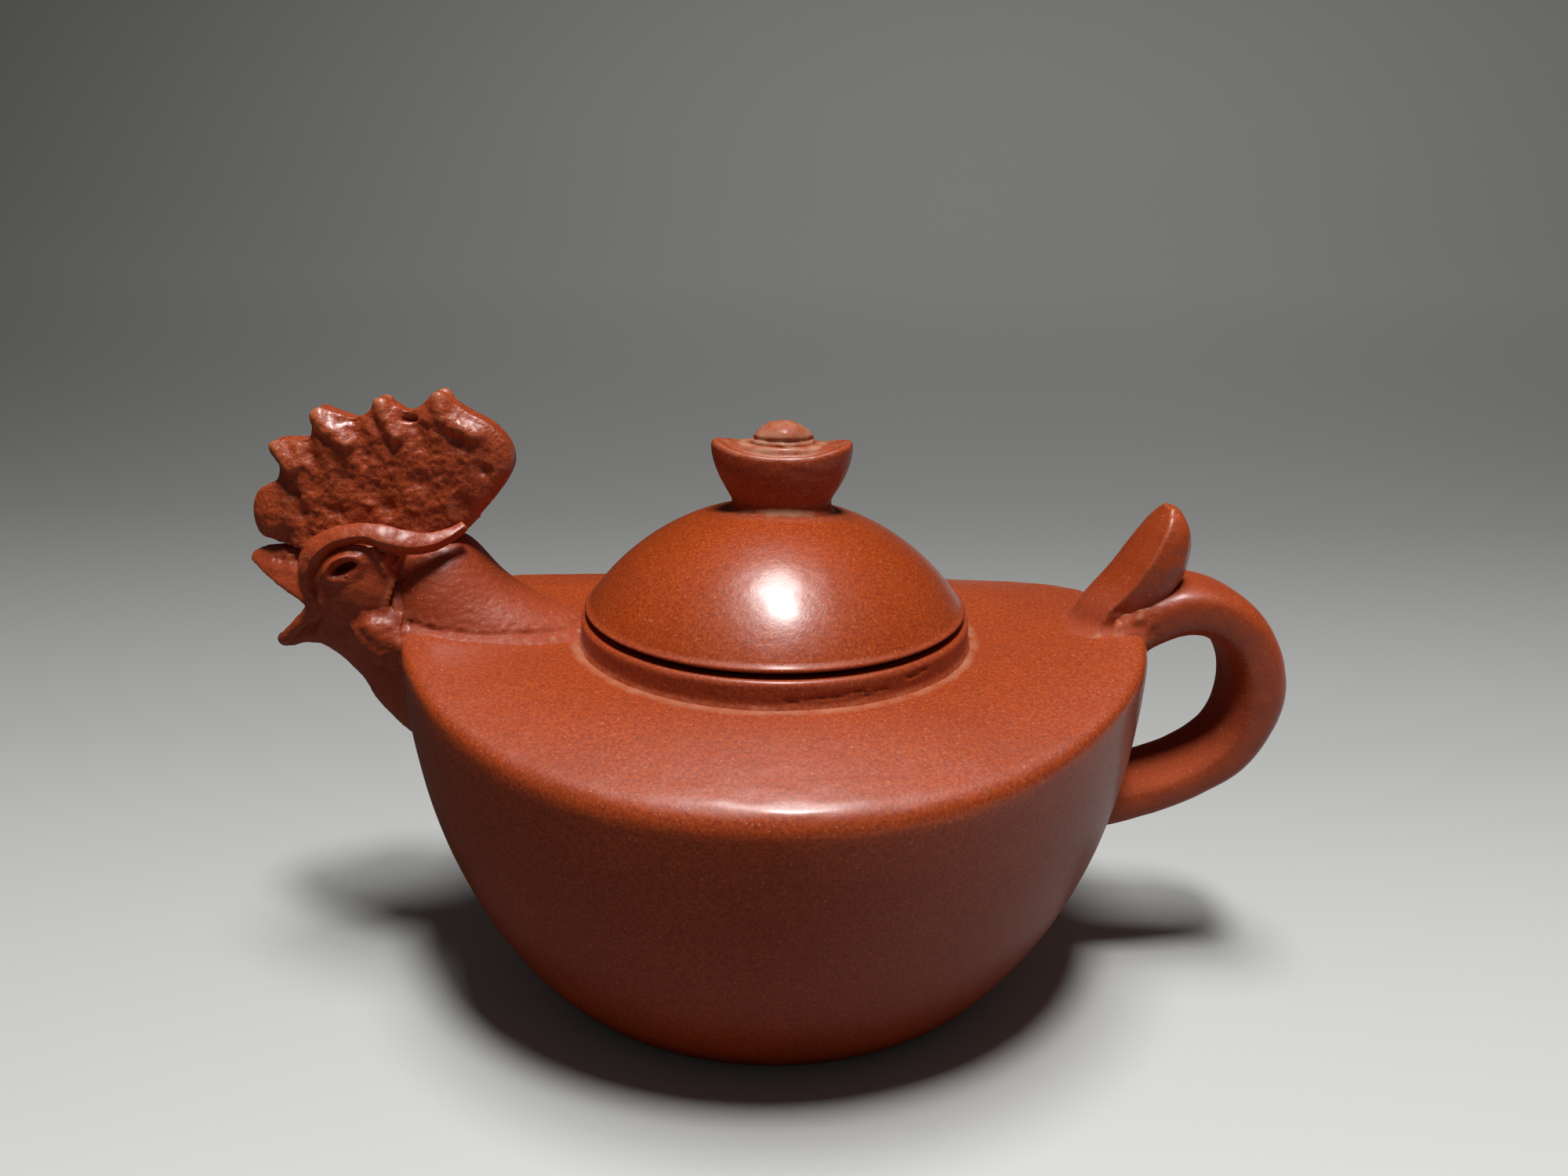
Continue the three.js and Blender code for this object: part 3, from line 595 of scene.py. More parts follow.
def makeKnob(dome):
    k = knob
    rise = k["tip"] - k["waist"]

    def boat(turn, long, wide, high, lift):
        z = lid["top"] + high + lift * abs(np.cos(turn)) ** k["tipPower"]
        return oval(turn, long / 2, wide / 2, z) + (k["x"], 0, 0)

    def footLeg(turn, w):
        return boat(turn, k["footLength"], k["footWidth"], -1.6 + (k["foot"] + 1.6) * w, 0)

    def sideLeg(turn, w):
        share = np.sin(w * math.pi / 2)
        long = k["footLength"] + (k["length"] - k["footLength"]) * share
        wide = k["footWidth"] + (k["width"] - k["footWidth"]) * share
        return boat(turn, long, wide, k["foot"] + (k["waist"] - k["foot"] - 0.4) * w, rise * w)

    def rimLeg(turn, w):
        lean = w * math.pi / 2
        off = 1.2 * (1 - np.cos(lean))
        return boat(turn, k["length"] - off, k["width"] - off, k["waist"] - 0.4 + 0.85 * np.sin(lean), rise)

    def topLeg(turn, w):
        long, wide, high, left = curve(k["top"], w).T
        return boat(turn, k["length"] - long, k["width"] - wide, k["waist"] + high, rise * left)

    piece = legged("knob_boat", 160, [(10, footLeg), (34, sideLeg), (10, rimLeg), (44, topLeg)])
    luted(piece, dome, 0.8)
    points, out, x, y, z = surfaceOf(piece)
    up, high = out[:, 2], z - lid["top"]
    push = 0.12 * grain(points, 4.5, 11) + 0.04 * grain(points, 1.5, 12) * (up < 0.3)
    push += 0.16 * beaten(points, 2.2, 13) * unit(-out[:, 1]) * (x > 2)  # scraped at the right
    slip = soft(np.hypot((x - k["x"]) / 6.2, y / 4.9) - 1, 0.22) * (up > 0.3)
    push += 0.05 * slip * grain(points, 1.2, 14)
    # the upward faces take pale dust, which partly stands in for a painted sheen from the lamps above
    top = unit(up * 3)
    dust = top * (0.36 + 0.3 * grain(points, 2, 16)) + slip * (0.3 + 0.5 * grain(points, 1.2, 15))
    dust += soft(high, 1.1) * soft(x - 1.5, 5) * (y < 0) * (0.5 + 0.5 * grain(points, 1.6, 4))
    return finished(piece, push, dust, np.maximum(0.55 - 0.2 * top, soft(high, 1.8)))


def makeEgg():
    size = np.array(knob["egg"])
    centre = np.array([knob["x"], 0, lid["top"] + knob["eggTop"] - size[2] / 2])

    def place(turn, share):
        lean = 0.03 + share * (math.pi - 0.06)
        return centre + circle(turn, np.sin(lean), np.cos(lean)) * size / 2

    piece = bent("knob_egg_skin", 96, 60, place)
    points, out, x, y, z = surfaceOf(piece)
    up, high = out[:, 2], z - lid["top"]
    foot = soft(high - 9.9, 1.3)
    push = 0.1 * grain(points, 3.2, 21) + 0.42 * beaten(points, 3, 24) + foot * 0.25 * grain(points, 1.2, 22)
    push += 0.2 * beaten(points, 1.3, 25) * unit((x - knob["x"]) / 3 - up + 0.4)
    push -= 0.35 * soft(high - 10.7, 0.45) * (y < 0)  # the crack over the slip
    # pale dust on the upward faces, partly a painted sheen from the lamps above
    eggDustAndSheen = unit(up * 2 + 0.3) * (0.5 + 0.35 * grain(points, 1.4, 26))
    return finished(piece, push, foot * (0.3 + 0.7 * grain(points, 1.2, 23)) + eggDustAndSheen, 0.65)


# The spout. Stations and strokes are in the pot's own millimetres, seen from the side (x, z)

spout = {
    "neck": [(-49, 33, -24, 56.5, 14), (-58.5, 40, -32, 60.8, 13.4), (-63.8, 44.4, -43.2, 67.6, 12.2),
             (-67.2, 48.8, -50, 74.8, 10.3), (-67.4, 52.4, -56.5, 77, 7.4)],
    "head": [(-66.6, 48.6, -57, 76.6, 9.4), (-70.2, 52.8, -62, 78.2, 10), (-72.8, 55.8, -68, 78.2, 9.4),
             (-74.4, 57.4, -72.6, 76.4, 7.8), (-75, 59.6, -75.4, 74, 5.6)],
    "upperBeak": [(-71, 60.4, -71, 75, 6.6), (-74.6, 63, -75, 73.8, 6.3), (-78, 65.4, -79, 73.3, 5.2),
                  (-81.6, 67.6, -82.6, 72.6, 3.7), (-84.3, 69.4, -84.6, 71.6, 1.8)],
    "lowerBeak": [(-70, 54, -70, 66, 5.8), (-73.6, 56.1, -74.6, 66.4, 5.7), (-76.4, 56.6, -77.4, 64, 5.2),
                  (-79, 56, -79.8, 60.8, 4.5), (-80.3, 56.1, -80.6, 58.8, 3.7), (-80.9, 56.7, -81, 57.7, 2)],
    # how wide each form is from its top (1) to its underside (-1)
    "section": {
        "head": [(1, 0), (0.94, 0.5), (0.7, 0.88), (0.35, 1), (-0.1, 0.93), (-0.6, 0.7), (-0.9, 0.4), (-1, 0)],
        "upperBeak": [(1, 0), (0.85, 0.34), (0.25, 0.72), (-0.5, 1), (-0.9, 0.97), (-1, 0.6), (-1, 0)],
        "lowerBeak": [(1, 0), (0.98, 0.8), (0.8, 1), (0.2, 0.98), (-0.5, 0.8), (-0.9, 0.45), (-1, 0)],
    },
    "channel": [(-44, 41), (-55, 48), (-60.5, 52), (-66.5, 56.6), (-71.5, 60.2), (-76.5, 62.2), (-82, 64.4),
                (-92, 68.4)],
    "channelRadius": [5, 4.7, 4.3, 4, 3.7, 3.6, 3.6, 3.6],
    "mouthCorner": (-74.3, 64.7), "mouthReach": 18, "upperSlope": 0.6, "lowerSlope": 1.08,
    "cheekEdge": [(-60.6, 76), (-59.4, 73.8), (-58.8, 71), (-58.5, 68.4), (-58, 66), (-57.3, 63)],
    "rootCrease": [(-56.8, 63.8), (-51.7, 62.7), (-46.2, 61.9), (-40.5, 61.3), (-34.4, 60.8), (-30.1, 60.7)],
    "fold": [(-65.6, 75), (-63.2, 74.9), (-61.6, 74.2), (-60.6, 73.2), (-60.2, 71.8)],
    # height, softness and lines: the gap under the brow, room for the eye's slit, wrinkles over the beak
    "strokes": [(-1.4, 0.9, [(-71.6, 72.8), (-70, 74.4), (-67.2, 75.4), (-64, 75.6), (-60.6, 75.2)]),
                (-3, 1.3, [(-67.6, 71.7), (-64.4, 73.2)]),
                (-0.3, 0.35, *([(x, 73), (x + 0.9, 71.2)] for x in (-80.6, -79.7, -77.7, -76.9, -76.1)))],
    # height, softness, stretch and place: hollows by eye and mouth, full cheek, root of the beak, nostril
    "dabs": [(-0.4, 2.2, 1.1, (-71.6, 68.4)), (-0.6, 2.8, 1.2, (-68.8, 62.4)), (0.5, 3.8, 1.2, (-64, 67.4)),
             (0.6, 1.4, 1.3, (-77.2, 72.4)), (-1.3, 0.7, 1.3, (-78.7, 71.9))],
    "nicks": [(0.14, 2.3, 31), (0.06, 0.8, 32)], "scratches": (0.7, 33, (2.4, 2.4, 0.6)),
    "hand": [(0.12, 6, 34), (0.03, 0.8, 35, (1.8, 1.8, 0.8))],
    "lip": [(-74, 69.8, 5.2), (-73, 67.2, 5.7), (-72.9, 64.9, 5.8), (-74.8, 62.6, 5.3), (-77, 60.3, 4.7),
            (-79, 58.4, 3.7), (-80.1, 57.5, 2.1)],
    "lipTip": (-80.4, 0, 57.2), "lipRound": 1.15,
    "lipCrease": [(-72.2, 68), (-71.2, 65.6), (-71, 64), (-72.4, 62.4), (-74.4, 60.6), (-76.4, 58.6)],
    "voxel": 0.34,
}


def across(spots):
    # a section given from top to underside as (share of half height, share of half width), on both sides
    loop = np.array(spots + [(a, -b) for a, b in spots[-2:0:-1]] + spots[:1], float)

    def section(turn):
        at = along(loop, (turn / (2 * math.pi)) % 1)
        return at[:, 0], at[:, 1]
    return section


def makeSpout(bowlLump, bowl, needle):
    s = spout
    neck = lofted("clay_neck", s["neck"], 72, 44)
    face = [lofted("clay_" + part, s[part], 72, 44, section=across(spots))
            for part, spots in s["section"].items()]
    plug = rod("mouth_plug", 96, collar["radius"] - 0.3, 40, (0, 0, 60))
    (x, z), reach = s["mouthCorner"], s["mouthReach"]
    wedge = plate("mouth_wedge", [(x, z), (x - reach, z + s["upperSlope"] * reach),
                                  (x - reach, z - s["lowerSlope"] * reach)], 40)
    trimmed(neck, bowlLump, plug, needle)
    for part in face:
        trimmed(part, wedge, needle)
    thrownAway(plug, wedge)
    lip = [(x, y, z) for x, z, y in s["lip"]]
    lip += [s["lipTip"]] + [(x, -y, z) for x, y, z in lip[::-1]]
    shares = [0.4, 0.8] + [1] * (len(lip) - 4) + [0.8, 0.4]
    piece = pressed(neck, *face, rolled("clay_lip", lip, [s["lipRound"] * share for share in shares], 24, 160))
    piece.name = piece.data.name = "rooster_spout"
    voxelled(piece, s["voxel"], 3)
    points, out, x, y, z = surfaceOf(piece)
    throat = unit((60 - z) / 3) * unit((-60 - x) / 2)
    throat *= unit(np.hypot(x + 80, z - 57) / 3 - 1)  # but not the beak's tip
    setPoints(piece, points + (evened(piece, points, 120) - points) * throat[:, None])
    luted(piece, bowl, 1.3)
    return sculptSpout(piece)


def sculptSpout(piece):
    s = spout
    points, out, x, y, z = surfaceOf(piece)
    side = unit(abs(out[:, 1]) * 1.6) * (abs(y) > 2.5)

    # the cheek plate stands a little proud of the neck, up to a scratchy rear edge
    edge = np.array(s["cheekEdge"])
    edgeX = np.interp(z, edge[::-1, 1], edge[::-1, 0])
    cheek = unit((edgeX - x) / 0.7) * unit((z - 56) / 6)
    cheek *= unit((x + 74) / 4) * unit((76 - z) / 2)
    cheek += 0.25 * stroke(points, edge + (0.9, 0), 1) * grain(points, 1, 30)
    # the fold over the eye runs back and turns down into that edge
    cheek += 0.7 * stroke(points, s["fold"], 0.9) * (1 + 0.7 * grain(points, 0.9, 26))
    cheek += carved(points, s["strokes"], s["dabs"])
    # a crease sets off the lip that runs round the mouth's corner to the lower beak's tip
    push = side * cheek - evened(piece, side * 0.5 * stroke(points, s["lipCrease"], 0.7), 2)

    # the face is cut with a needle: folds and nicks; the neck is only scratched
    push += unit((-58 - x) / 3) * worked(points, s["nicks"])
    neck = unit((x + 60) / 3)
    push += neck * (worked(points, s["hand"]) - 0.1 * unit(grain(points, *s["scratches"]) - 0.1))
    crease = fromLine(sideOf(points), s["rootCrease"])
    push -= neck * 0.35 * soft(crease, 0.55) * (0.7 + 0.9 * grain(points, 2, 36))
    push += neck * 0.18 * soft(crease - 1, 0.8) * grain(points, 1, 37)
    atCollar = soft(np.hypot(x + 29.5, y + 11), 6)
    push += atCollar * 0.3 * grain(points, 1, 38)
    dust = soft(np.hypot(x, y) - collar["radius"], 1.2) * (0.2 + grain(points, 1.4, 39))
    dust += atCollar * (0.2 + 0.8 * grain(points, 1, 40))
    dust += soft(crease - 0.6, 0.9) * neck * (0.2 + 0.4 * grain(points, 1.2, 29))
    dust += side * stroke(points, edge + (0.7, 0), 0.7) * (0.15 + 0.6 * grain(points, 0.9, 28))
    return finished(piece, push, dust, np.clip((x + 62) / 2, 0, 0.8) * soft(crease, 2.6))


# The comb: an upright plate with five hammered lobes

comb = {
    "outline": [(-79.8, 74.1), (-82.2, 75), (-83, 79), (-81.8, 82.2), (-78.8, 83.9), (-78, 86.2), (-78.8, 88.9),
                (-77.6, 90.3), (-74.4, 90.4), (-72.6, 90.9), (-72, 93.4), (-70.8, 95.4), (-68.4, 94.8),
                (-65.4, 93.9), (-63.4, 94.8), (-61.2, 97), (-59.2, 96), (-57.2, 95.1), (-55.2, 95.8),
                (-52.6, 98), (-50.6, 97), (-47.8, 95.1), (-44.6, 93.4), (-42, 90.4), (-41.4, 87.2),
                (-43, 83.8), (-46.4, 79.5), (-50, 75.6)],
    "root": [(-60, 72), (-73, 73)],
    "thickness": 7.4, "rim": 2, "taper": 0.022, "voxel": 0.33,
    # height, softness and lines: the lobes' ridges, the valleys between, the front lobe's rear edge
    "strokes": [
        (0.9, 1.9, [(-78.4, 89.2), (-76.6, 87.6), (-75.6, 86.4)], [(-71.4, 94.4), (-69, 92), (-66.6, 90.2)],
         [(-61.2, 96), (-60, 93.8), (-58.9, 91.6)], [(-52, 97.2), (-51.6, 94.6), (-50, 93.2), (-46.4, 91.6)]),
        (-0.5, 1.8, [(-78.2, 84.8), (-76.8, 83.6), (-75.6, 82.2)], [(-73, 90.8), (-72.4, 88.6), (-71.4, 86.6)],
         [(-65.6, 93.8), (-64.2, 91), (-63.4, 89)], [(-57, 95), (-55.4, 92.4), (-54.6, 90)]),
        (-0.5, 1.6, [(-75.6, 82), (-74.4, 79), (-73.6, 76)])],
    # the front lobe's swelling and the deepest dents: height, softness, stretch and places
    "dabs": [(0.8, 4, 1, (-79, 78)), (-0.55, 2.6, 1, (-66.8, 85.2), (-55.6, 84.6)),
             (-0.55, 2.4, 1, (-62.9, 83), (-49.5, 80.4)), (-0.55, 2, 1, (-45.6, 86.5), (-68.8, 79.8)),
             (-0.55, 2.2, 1, (-60.9, 80.3), (-50, 91), (-71.6, 84), (-74.6, 79))],
    "picked": [(0.3, 4, 41), (0.14, 0.8, 42)], "notch": [(-57.6, 94.2), (-56, 94.2)],
    "calm": [(2.8, [(-48, 95), (-44, 92.4), (-41.6, 87), (-43.4, 82.6)]),
             (3, [(-82.6, 74), (-82.8, 79), (-80, 83)])],
}


def makeComb():
    c = comb
    half = c["thickness"] / 2
    outline = np.vstack([curve(c["outline"], np.linspace(0, 1, 140)), c["root"]])
    piece = plate("rooster_comb", outline, c["thickness"])
    voxelled(piece, c["voxel"], 3)
    points = pointsOf(piece)
    inwards = fromLine(sideOf(points), curve(c["outline"], np.linspace(0, 1, 90)))
    thick = c["rim"] + (half - c["rim"]) * (1 - np.exp(-inwards / 1.8))
    thick *= 1.2 - c["taper"] * (points[:, 2] - 74)  # thicker at the root, so that its faces lean up
    thick *= 1 - 0.38 * unit((-74.5 - points[:, 0]) / 4)  # and thinner over the beak
    points[:, 1] *= thick / half
    setPoints(piece, points)
    points, out, x, y, z = surfaceOf(piece)
    # beaten and picked over, but the tips and the rear lobe's rim are wiped smooth
    rough = 0.42 * beaten(points, 2.4, 1) + 0.34 * beaten(points, 1.2, 2) + worked(points, c["picked"])
    calm = np.maximum(*(stroke(points, line, size) for size, line in c["calm"]))
    push = carved(points, c["strokes"], c["dabs"]) * unit(abs(out[:, 1]) * 1.5)
    push += rough * (1 - 0.8 * calm) * (0.45 + 0.55 * unit(inwards / 2.5))
    return finished(piece, push - 1.1 * stroke(points, c["notch"], 0.6) * (y < 0))


# The face: brow, eye and ear lobe on each side

brow = {
    "path": [(-72, 66.6, 7.6), (-72.6, 69.2, 8.2), (-71.8, 72, 8.8), (-70.2, 74.5, 9.1), (-67.8, 76.4, 9.3),
             (-65, 77.4, 9.4), (-62.2, 77.7, 9.3), (-59.4, 76.9, 9.1), (-56.2, 76, 8.5), (-53.4, 75.9, 7.4),
             (-51, 76.5, 5.8), (-48.9, 77.7, 4)],
    "radii": [0.8, 1.3, 1.7, 1.8, 1.6, 1.5, 1.7, 2.1, 1.9, 1.5, 1.2, 0.8], "squareness": 1.3,
}
eye = {"centre": (-65.9, 72.5, 9.2), "long": 8.4, "high": 5.2, "deep": 3, "tilt": 0.46,
       "holeLong": 3.6, "holeHigh": 1.3, "holeDeep": 2.6, "ringed": 0.95}
lobe = {
    "stations": [(-55.8, 60.8, -56, 62.2, 0.7), (-57.6, 59, -58, 63.2, 1.5), (-59.6, 57.6, -60.6, 65.2, 2.5),
                 (-62, 56.8, -63, 65.2, 2.7), (-64.8, 59.6, -65.2, 63.4, 1.1)],
    "out": 10,
}


def makeBrow(side, word):
    path = [(x, side * out, z) for x, z, out in brow["path"]]
    piece = rolled("brow_roll_" + word, path, brow["radii"], 40, 120, brow["squareness"])
    return finished(piece, worked(pointsOf(piece), [(0.2, 3, 51 + side), (0.07, 0.9, 53)]))


def makeEye(side, word, spoutPiece):
    e = eye
    tilt = np.array([[math.cos(e["tilt"]), -math.sin(e["tilt"])], [math.sin(e["tilt"]), math.cos(e["tilt"])]])

    def place(turn, share):
        # seen from the side: an almond mound with a ring of clay round a deep slit
        reach = np.minimum(share / 0.75, 1)
        under = unit((share - 0.75) / 0.25)  # the last quarter of the rows closes the back
        ringed = soft(reach - 0.7, 0.32) * (1 + 0.35 * np.cos(turn - 2.4))  # thickest at the beak's end
        fromSlit = reach * e["long"] / e["holeLong"] * np.hypot(
            np.cos(turn), np.sin(turn) * e["high"] / e["long"] * e["holeLong"] / e["holeHigh"])
        hole = unit((1.2 - fromSlit) / 0.4)
        height = e["deep"] * np.sqrt(unit(1 - 0.85 * reach ** 2)) * 0.5
        height += e["ringed"] * ringed - e["holeDeep"] * hole
        height = (height + e["deep"]) * (1 - under) - e["deep"]
        reach = reach * (1 - 0.9 * under)
        almond = 1 - 0.22 * abs(np.cos(turn)) ** 3 * abs(np.sin(turn))
        x, z = tilt @ [reach * e["long"] / 2 * np.cos(turn), reach * e["high"] / 2 * np.sin(turn) * almond]
        return np.stack([e["centre"][0] + x, side * (e["centre"][2] + height), e["centre"][1] + z], 1)

    piece = bent("eye_ring_" + word, 72, 72, place)
    luted(piece, spoutPiece, 1)
    return finished(piece, worked(pointsOf(piece), [(0.1, 1.4, 61), (0.04, 0.6, 62)]))


def makeLobe(side, word, spoutPiece):
    piece = lofted("ear_lobe_" + word, lobe["stations"], 40, 40, offset=side * lobe["out"])
    voxelled(piece, 0.3, 4)
    luted(piece, spoutPiece, 1.6)
    return finished(piece, worked(pointsOf(piece), [(0.45, 2.4, 71 + side), (0.12, 0.9, 73)]))


# The handle and its feather-shaped rest

handle = {
    "stations": [(53, 55.4, 54, 66, 7.6), (60, 58, 60.8, 68.6, 7.4), (64.4, 61.6, 65.2, 70.4, 7.3),
                 (69.6, 61.7, 71.2, 69.7, 7.2), (73.4, 58.2, 79, 65.4, 7.2), (75.1, 53.4, 83.5, 57.1, 7.2),
                 (75.2, 49.4, 84, 50, 7.2), (74.6, 46, 82.4, 44, 7.2), (73.2, 43.1, 78.9, 37.9, 7.2),
                 (70.6, 40.6, 73.4, 33.8, 7.3), (66.6, 38.2, 66.8, 30.6, 7.5), (60.4, 36, 60, 28.2, 7.8),
                 (52, 34.8, 52, 26.2, 8.2)],
    "squareness": 3.4, "middle": (64, 49),
    "hand": [(0.22, 9, 81), (0.06, 2.5, 82)], "torn": [(0.45, 1.4, 83), (0.25, 0.7, 85)],
}
feather = {
    "stations": [(57, 55, 47.9, 60.2, 6), (60.6, 63.4, 50.6, 66, 6.4), (64.5, 69.3, 54.4, 70.9, 6.8),
                 (65.9, 74.4, 57.4, 75.4, 6.4), (65.5, 78.7, 60.1, 79.5, 4.9), (63.8, 81.6, 61.9, 81.9, 2.2)],
    # share of the half depth (front is 1) and of the half width: broad front, ridge, flank, arris, back
    "section": [(1, 0), (0.93, 0.5), (0.6, 1), (-0.1, 0.97), (-0.62, 0.84), (-0.95, 0.5), (-1, 0)],
    "hand": [(0.15, 7, 91), (0.04, 1.6, 92)], "foot": [(53.4, 65.8), (57, 64.6)],
}


def makeHandle(bowlLump, bowl):
    eased = curve(handle["stations"], np.linspace(0, 1, 121))
    for step in range(60):  # the strap is bent in one sweep
        eased[1:-1] = (eased[:-2] + 2 * eased[1:-1] + eased[2:]) / 4
    piece = lofted("strap_handle", eased, 64, 200, handle["squareness"])
    trimmed(piece, bowlLump)
    voxelled(piece, 0.5, 3)
    luted(piece, bowl, 1.2)
    points, out, x, y, z = surfaceOf(piece)
    start = soft(np.hypot(x - 56.8, (z - 64.8) * 0.8), 6)
    push = worked(points, handle["hand"]) + start * (worked(points, handle["torn"]) - 0.1)
    toMiddle = np.array(handle["middle"]) - sideOf(points)
    inwards = (sideOf(out) * toMiddle).sum(1) / np.linalg.norm(toMiddle, axis=1)
    raw = np.maximum(0.9 * start, unit(inwards * 3 - 0.8))  # a rib can't reach inside the loop
    return finished(piece, push, start * (0.2 + 0.6 * grain(points, 1.3, 84)), raw)


def makeFeather(bowlLump, bowl):
    piece = lofted("feather_rest", feather["stations"], 96, 72, section=across(feather["section"]))
    trimmed(piece, bowlLump)
    voxelled(piece, 0.36, 3)
    luted(piece, bowl, 1.2 + 0.9 * unit((54.5 - pointsOf(piece)[:, 0]) / 4))
    points, out, x, y, z = surfaceOf(piece)
    flank = unit((x - 55) / 5) * unit(abs(out[:, 1]) * 1.5)
    push = worked(points, feather["hand"]) + flank * 0.12 * grain(points, 1.4, 93, (1.4, 1, 1.4))
    foot = stroke(points, feather["foot"], 1.3) * (abs(y) > 5)
    push += foot * 0.3 * grain(points, 1.3, 94)
    return finished(piece, push, foot * (0.3 + 0.6 * grain(points, 1.2, 95)), 0.75 * unit((69.5 - z) / 3))


# Finishes

def linear(colour):
    parts = [int(colour[k:k + 2], 16) / 255 for k in (1, 3, 5)]
    return [p / 12.92 if p <= 0.04045 else ((p + 0.055) / 1.055) ** 2.4 for p in parts] + [1]


def addNode(tree, kind, inputs=None, **settings):
    # an input that is given a node takes that node's first output
    node = tree.nodes.new("ShaderNode" + kind)
    for name, value in settings.items():
        setattr(node, name, value)
    for name, value in (inputs or {}).items():
        if isinstance(value, bpy.types.Node):
            value = value.outputs[0]
        if isinstance(value, bpy.types.NodeSocket):
            tree.links.new(value, node.inputs[name])
        else:
            node.inputs[name].default_value = value
    return node


def emptyMaterial(name):
    material = bpy.data.materials.new(name)
    material.use_nodes = True
    material.node_tree.nodes.clear()
    return material, material.node_tree


def clay(name, look):
    # one recipe for every clay: mottling, a slow drift of tone, light specks, pits, ridges lightened as wear
    # and painted highlight, painted shade in hollows, and dust
    material, tree = emptyMaterial(name)
    place = addNode(tree, "TexCoord").outputs["Object"]
    drivers = {}
    for part, size, detail in (
            ("mottle", look["mottle"], 4), ("drift", look["drift"], 2), ("speck", look["speck"], 2),
            ("pit", look["pit"], 1), ("sheen", look["mottle"] * 2.2, 3), ("grit", look["gritSize"], 3),
            ("wave", look["waveSize"], 2)):
        drivers[part] = addNode(tree, "TexNoise", {"Vector": place, "Scale": 1 / (size * mm), "Detail": detail,
                                                   "Roughness": 0.6}).outputs["Fac"]
    for layer in ("relief", "dust", "raw"):
        drivers[layer] = addNode(tree, "Attribute", attribute_name=layer).outputs["Fac"]
    tone = linear(look["dark"])
    # what drives each tone over the last, between which two values, and how far
    for driver, low, high, most, colour in (
            ("mottle", 0.36, 0.66, 1, "clay"), ("drift", 0.3, 0.7, look["driftShare"], "deep"),
            ("speck", 0.64, 0.73, look["speckShare"], "light"), ("pit", 0.24, 0.2, 1, "deep"),
            # relief paints the light colour on ridges, partly wear and partly painted highlight, and the deep
            # colour in hollows as painted shade
            ("relief", 0.25, 1.6, look["ridge"], "light"), ("relief", -0.2, -1.6, look["hollowShade"], "deep"),
            ("dust", 0.25, 0.8, 0.85, "dust")):
        share = addNode(tree, "MapRange", {"Value": drivers[driver], "From Min": low, "From Max": high,
                                           "To Max": most})
        tone = addNode(tree, "Mix", {0: share, 6: tone, 7: linear(look[colour])}, data_type="RGBA").outputs[2]
    # dust stays dull, and so does what was never rubbed with the rib
    dull = addNode(tree, "Math", {0: share, 1: drivers["raw"]}, operation="MAXIMUM")
    sheen = addNode(tree, "MapRange", {
        "Value": drivers["sheen"], "From Min": 0.3, "From Max": 0.7,
        "To Min": look["rough"] - look["roughSpread"], "To Max": look["rough"] + look["roughSpread"]})
    rough = addNode(tree, "Mix", {0: dull, 2: sheen, 3: 0.85})
    fine = addNode(tree, "Bump", {"Strength": 1, "Distance": look["grit"] * mm, "Height": drivers["grit"]})
    broad = addNode(tree, "Bump", {"Strength": 1, "Distance": look["wave"] * mm, "Height": drivers["wave"],
                                   "Normal": fine})
    polish = addNode(tree, "MapRange", {"Value": dull, "To Min": look["coat"], "To Max": 0})
    skin = addNode(tree, "BsdfPrincipled", {
        "Base Color": tone, "Roughness": rough, "IOR": 1.5, "Coat Weight": polish,
        "Coat Roughness": look["coatRough"], "Normal": broad})
    addNode(tree, "OutputMaterial", {"Surface": skin})
    return material


# Zisha clay rubbed with a horn rib until it shines like satin: fine dark mottling and sparse pale sand
# ridge and hollow set how much painted highlight and painted shade the relief adds
burnished = {"clay": "#b64a10", "dark": "#8e310a", "deep": "#7a270c", "light": "#dc9460", "dust": "#b07a5c",
             "mottle": 0.5, "drift": 26, "driftShare": 0.3, "speck": 0.4, "speckShare": 0.55, "pit": 0.6,
             "ridge": 0.12, "hollowShade": 0.3, "rough": 0.5, "roughSpread": 0.04, "coat": 0.38, "coatRough": 0.2,
             "grit": 0.03, "gritSize": 0.35, "wave": 0.1, "waveSize": 3}
# The lid takes the best polish
polished = {**burnished, "rough": 0.37, "coat": 0.55}
# The same clay worked with needle and finger and left unpolished on the face
tooled = {**burnished, "clay": "#aa441c", "dark": "#963914", "ridge": 0.3, "hollowShade": 0.6, "rough": 0.5,
          "coat": 0.25, "coatRough": 0.28, "grit": 0.06, "gritSize": 0.5, "wave": 0.12, "waveSize": 1.2}
# Beaten with a small mallet, so every dent has a glossy edge
# its dents get a strong painted shade from the relief
hammered = {**tooled, "clay": "#b64c20", "dark": "#8c3410", "rough": 0.46, "ridge": 0.25, "hollowShade": 0.8,
            "coat": 0.4, "coatRough": 0.24, "wave": 0.2, "waveSize": 0.9}
# A strap pulled and wiped with a wet cloth
wiped = {**burnished, "clay": "#b04616", "dark": "#9c3c12", "rough": 0.48, "ridge": 0.3, "hollowShade": 0.5,
         "coat": 0.25, "coatRough": 0.26, "wave": 0.12, "waveSize": 2.2}
# The inside is only scraped, so it stays dull and sandy
scraped = {**burnished, "clay": "#9d4d31", "dark": "#87391f", "rough": 0.75, "coat": 0, "grit": 0.12,
           "gritSize": 0.6}


# Stage: a pale sweep with painted light and shade, a lamp and a broad panel above, and a mild fill all round

# the sweep's tones, near to far, are painted light and shade: pale by the pot, darker a little way back, paler
# again high up
stage = {"paintedTones": [(0.03, "#cccdcb"), (0.1, "#abacaa"), (0.22, "#7a7b78"), (0.5, "#8e8f8b"), (1, "#dcddd8")],
         "near": -0.1, "far": 1.7, "sideShade": 0.36, "bounce": "#8a7061",
         "mirror": ("#2e2a27", "#d4d4d2")}


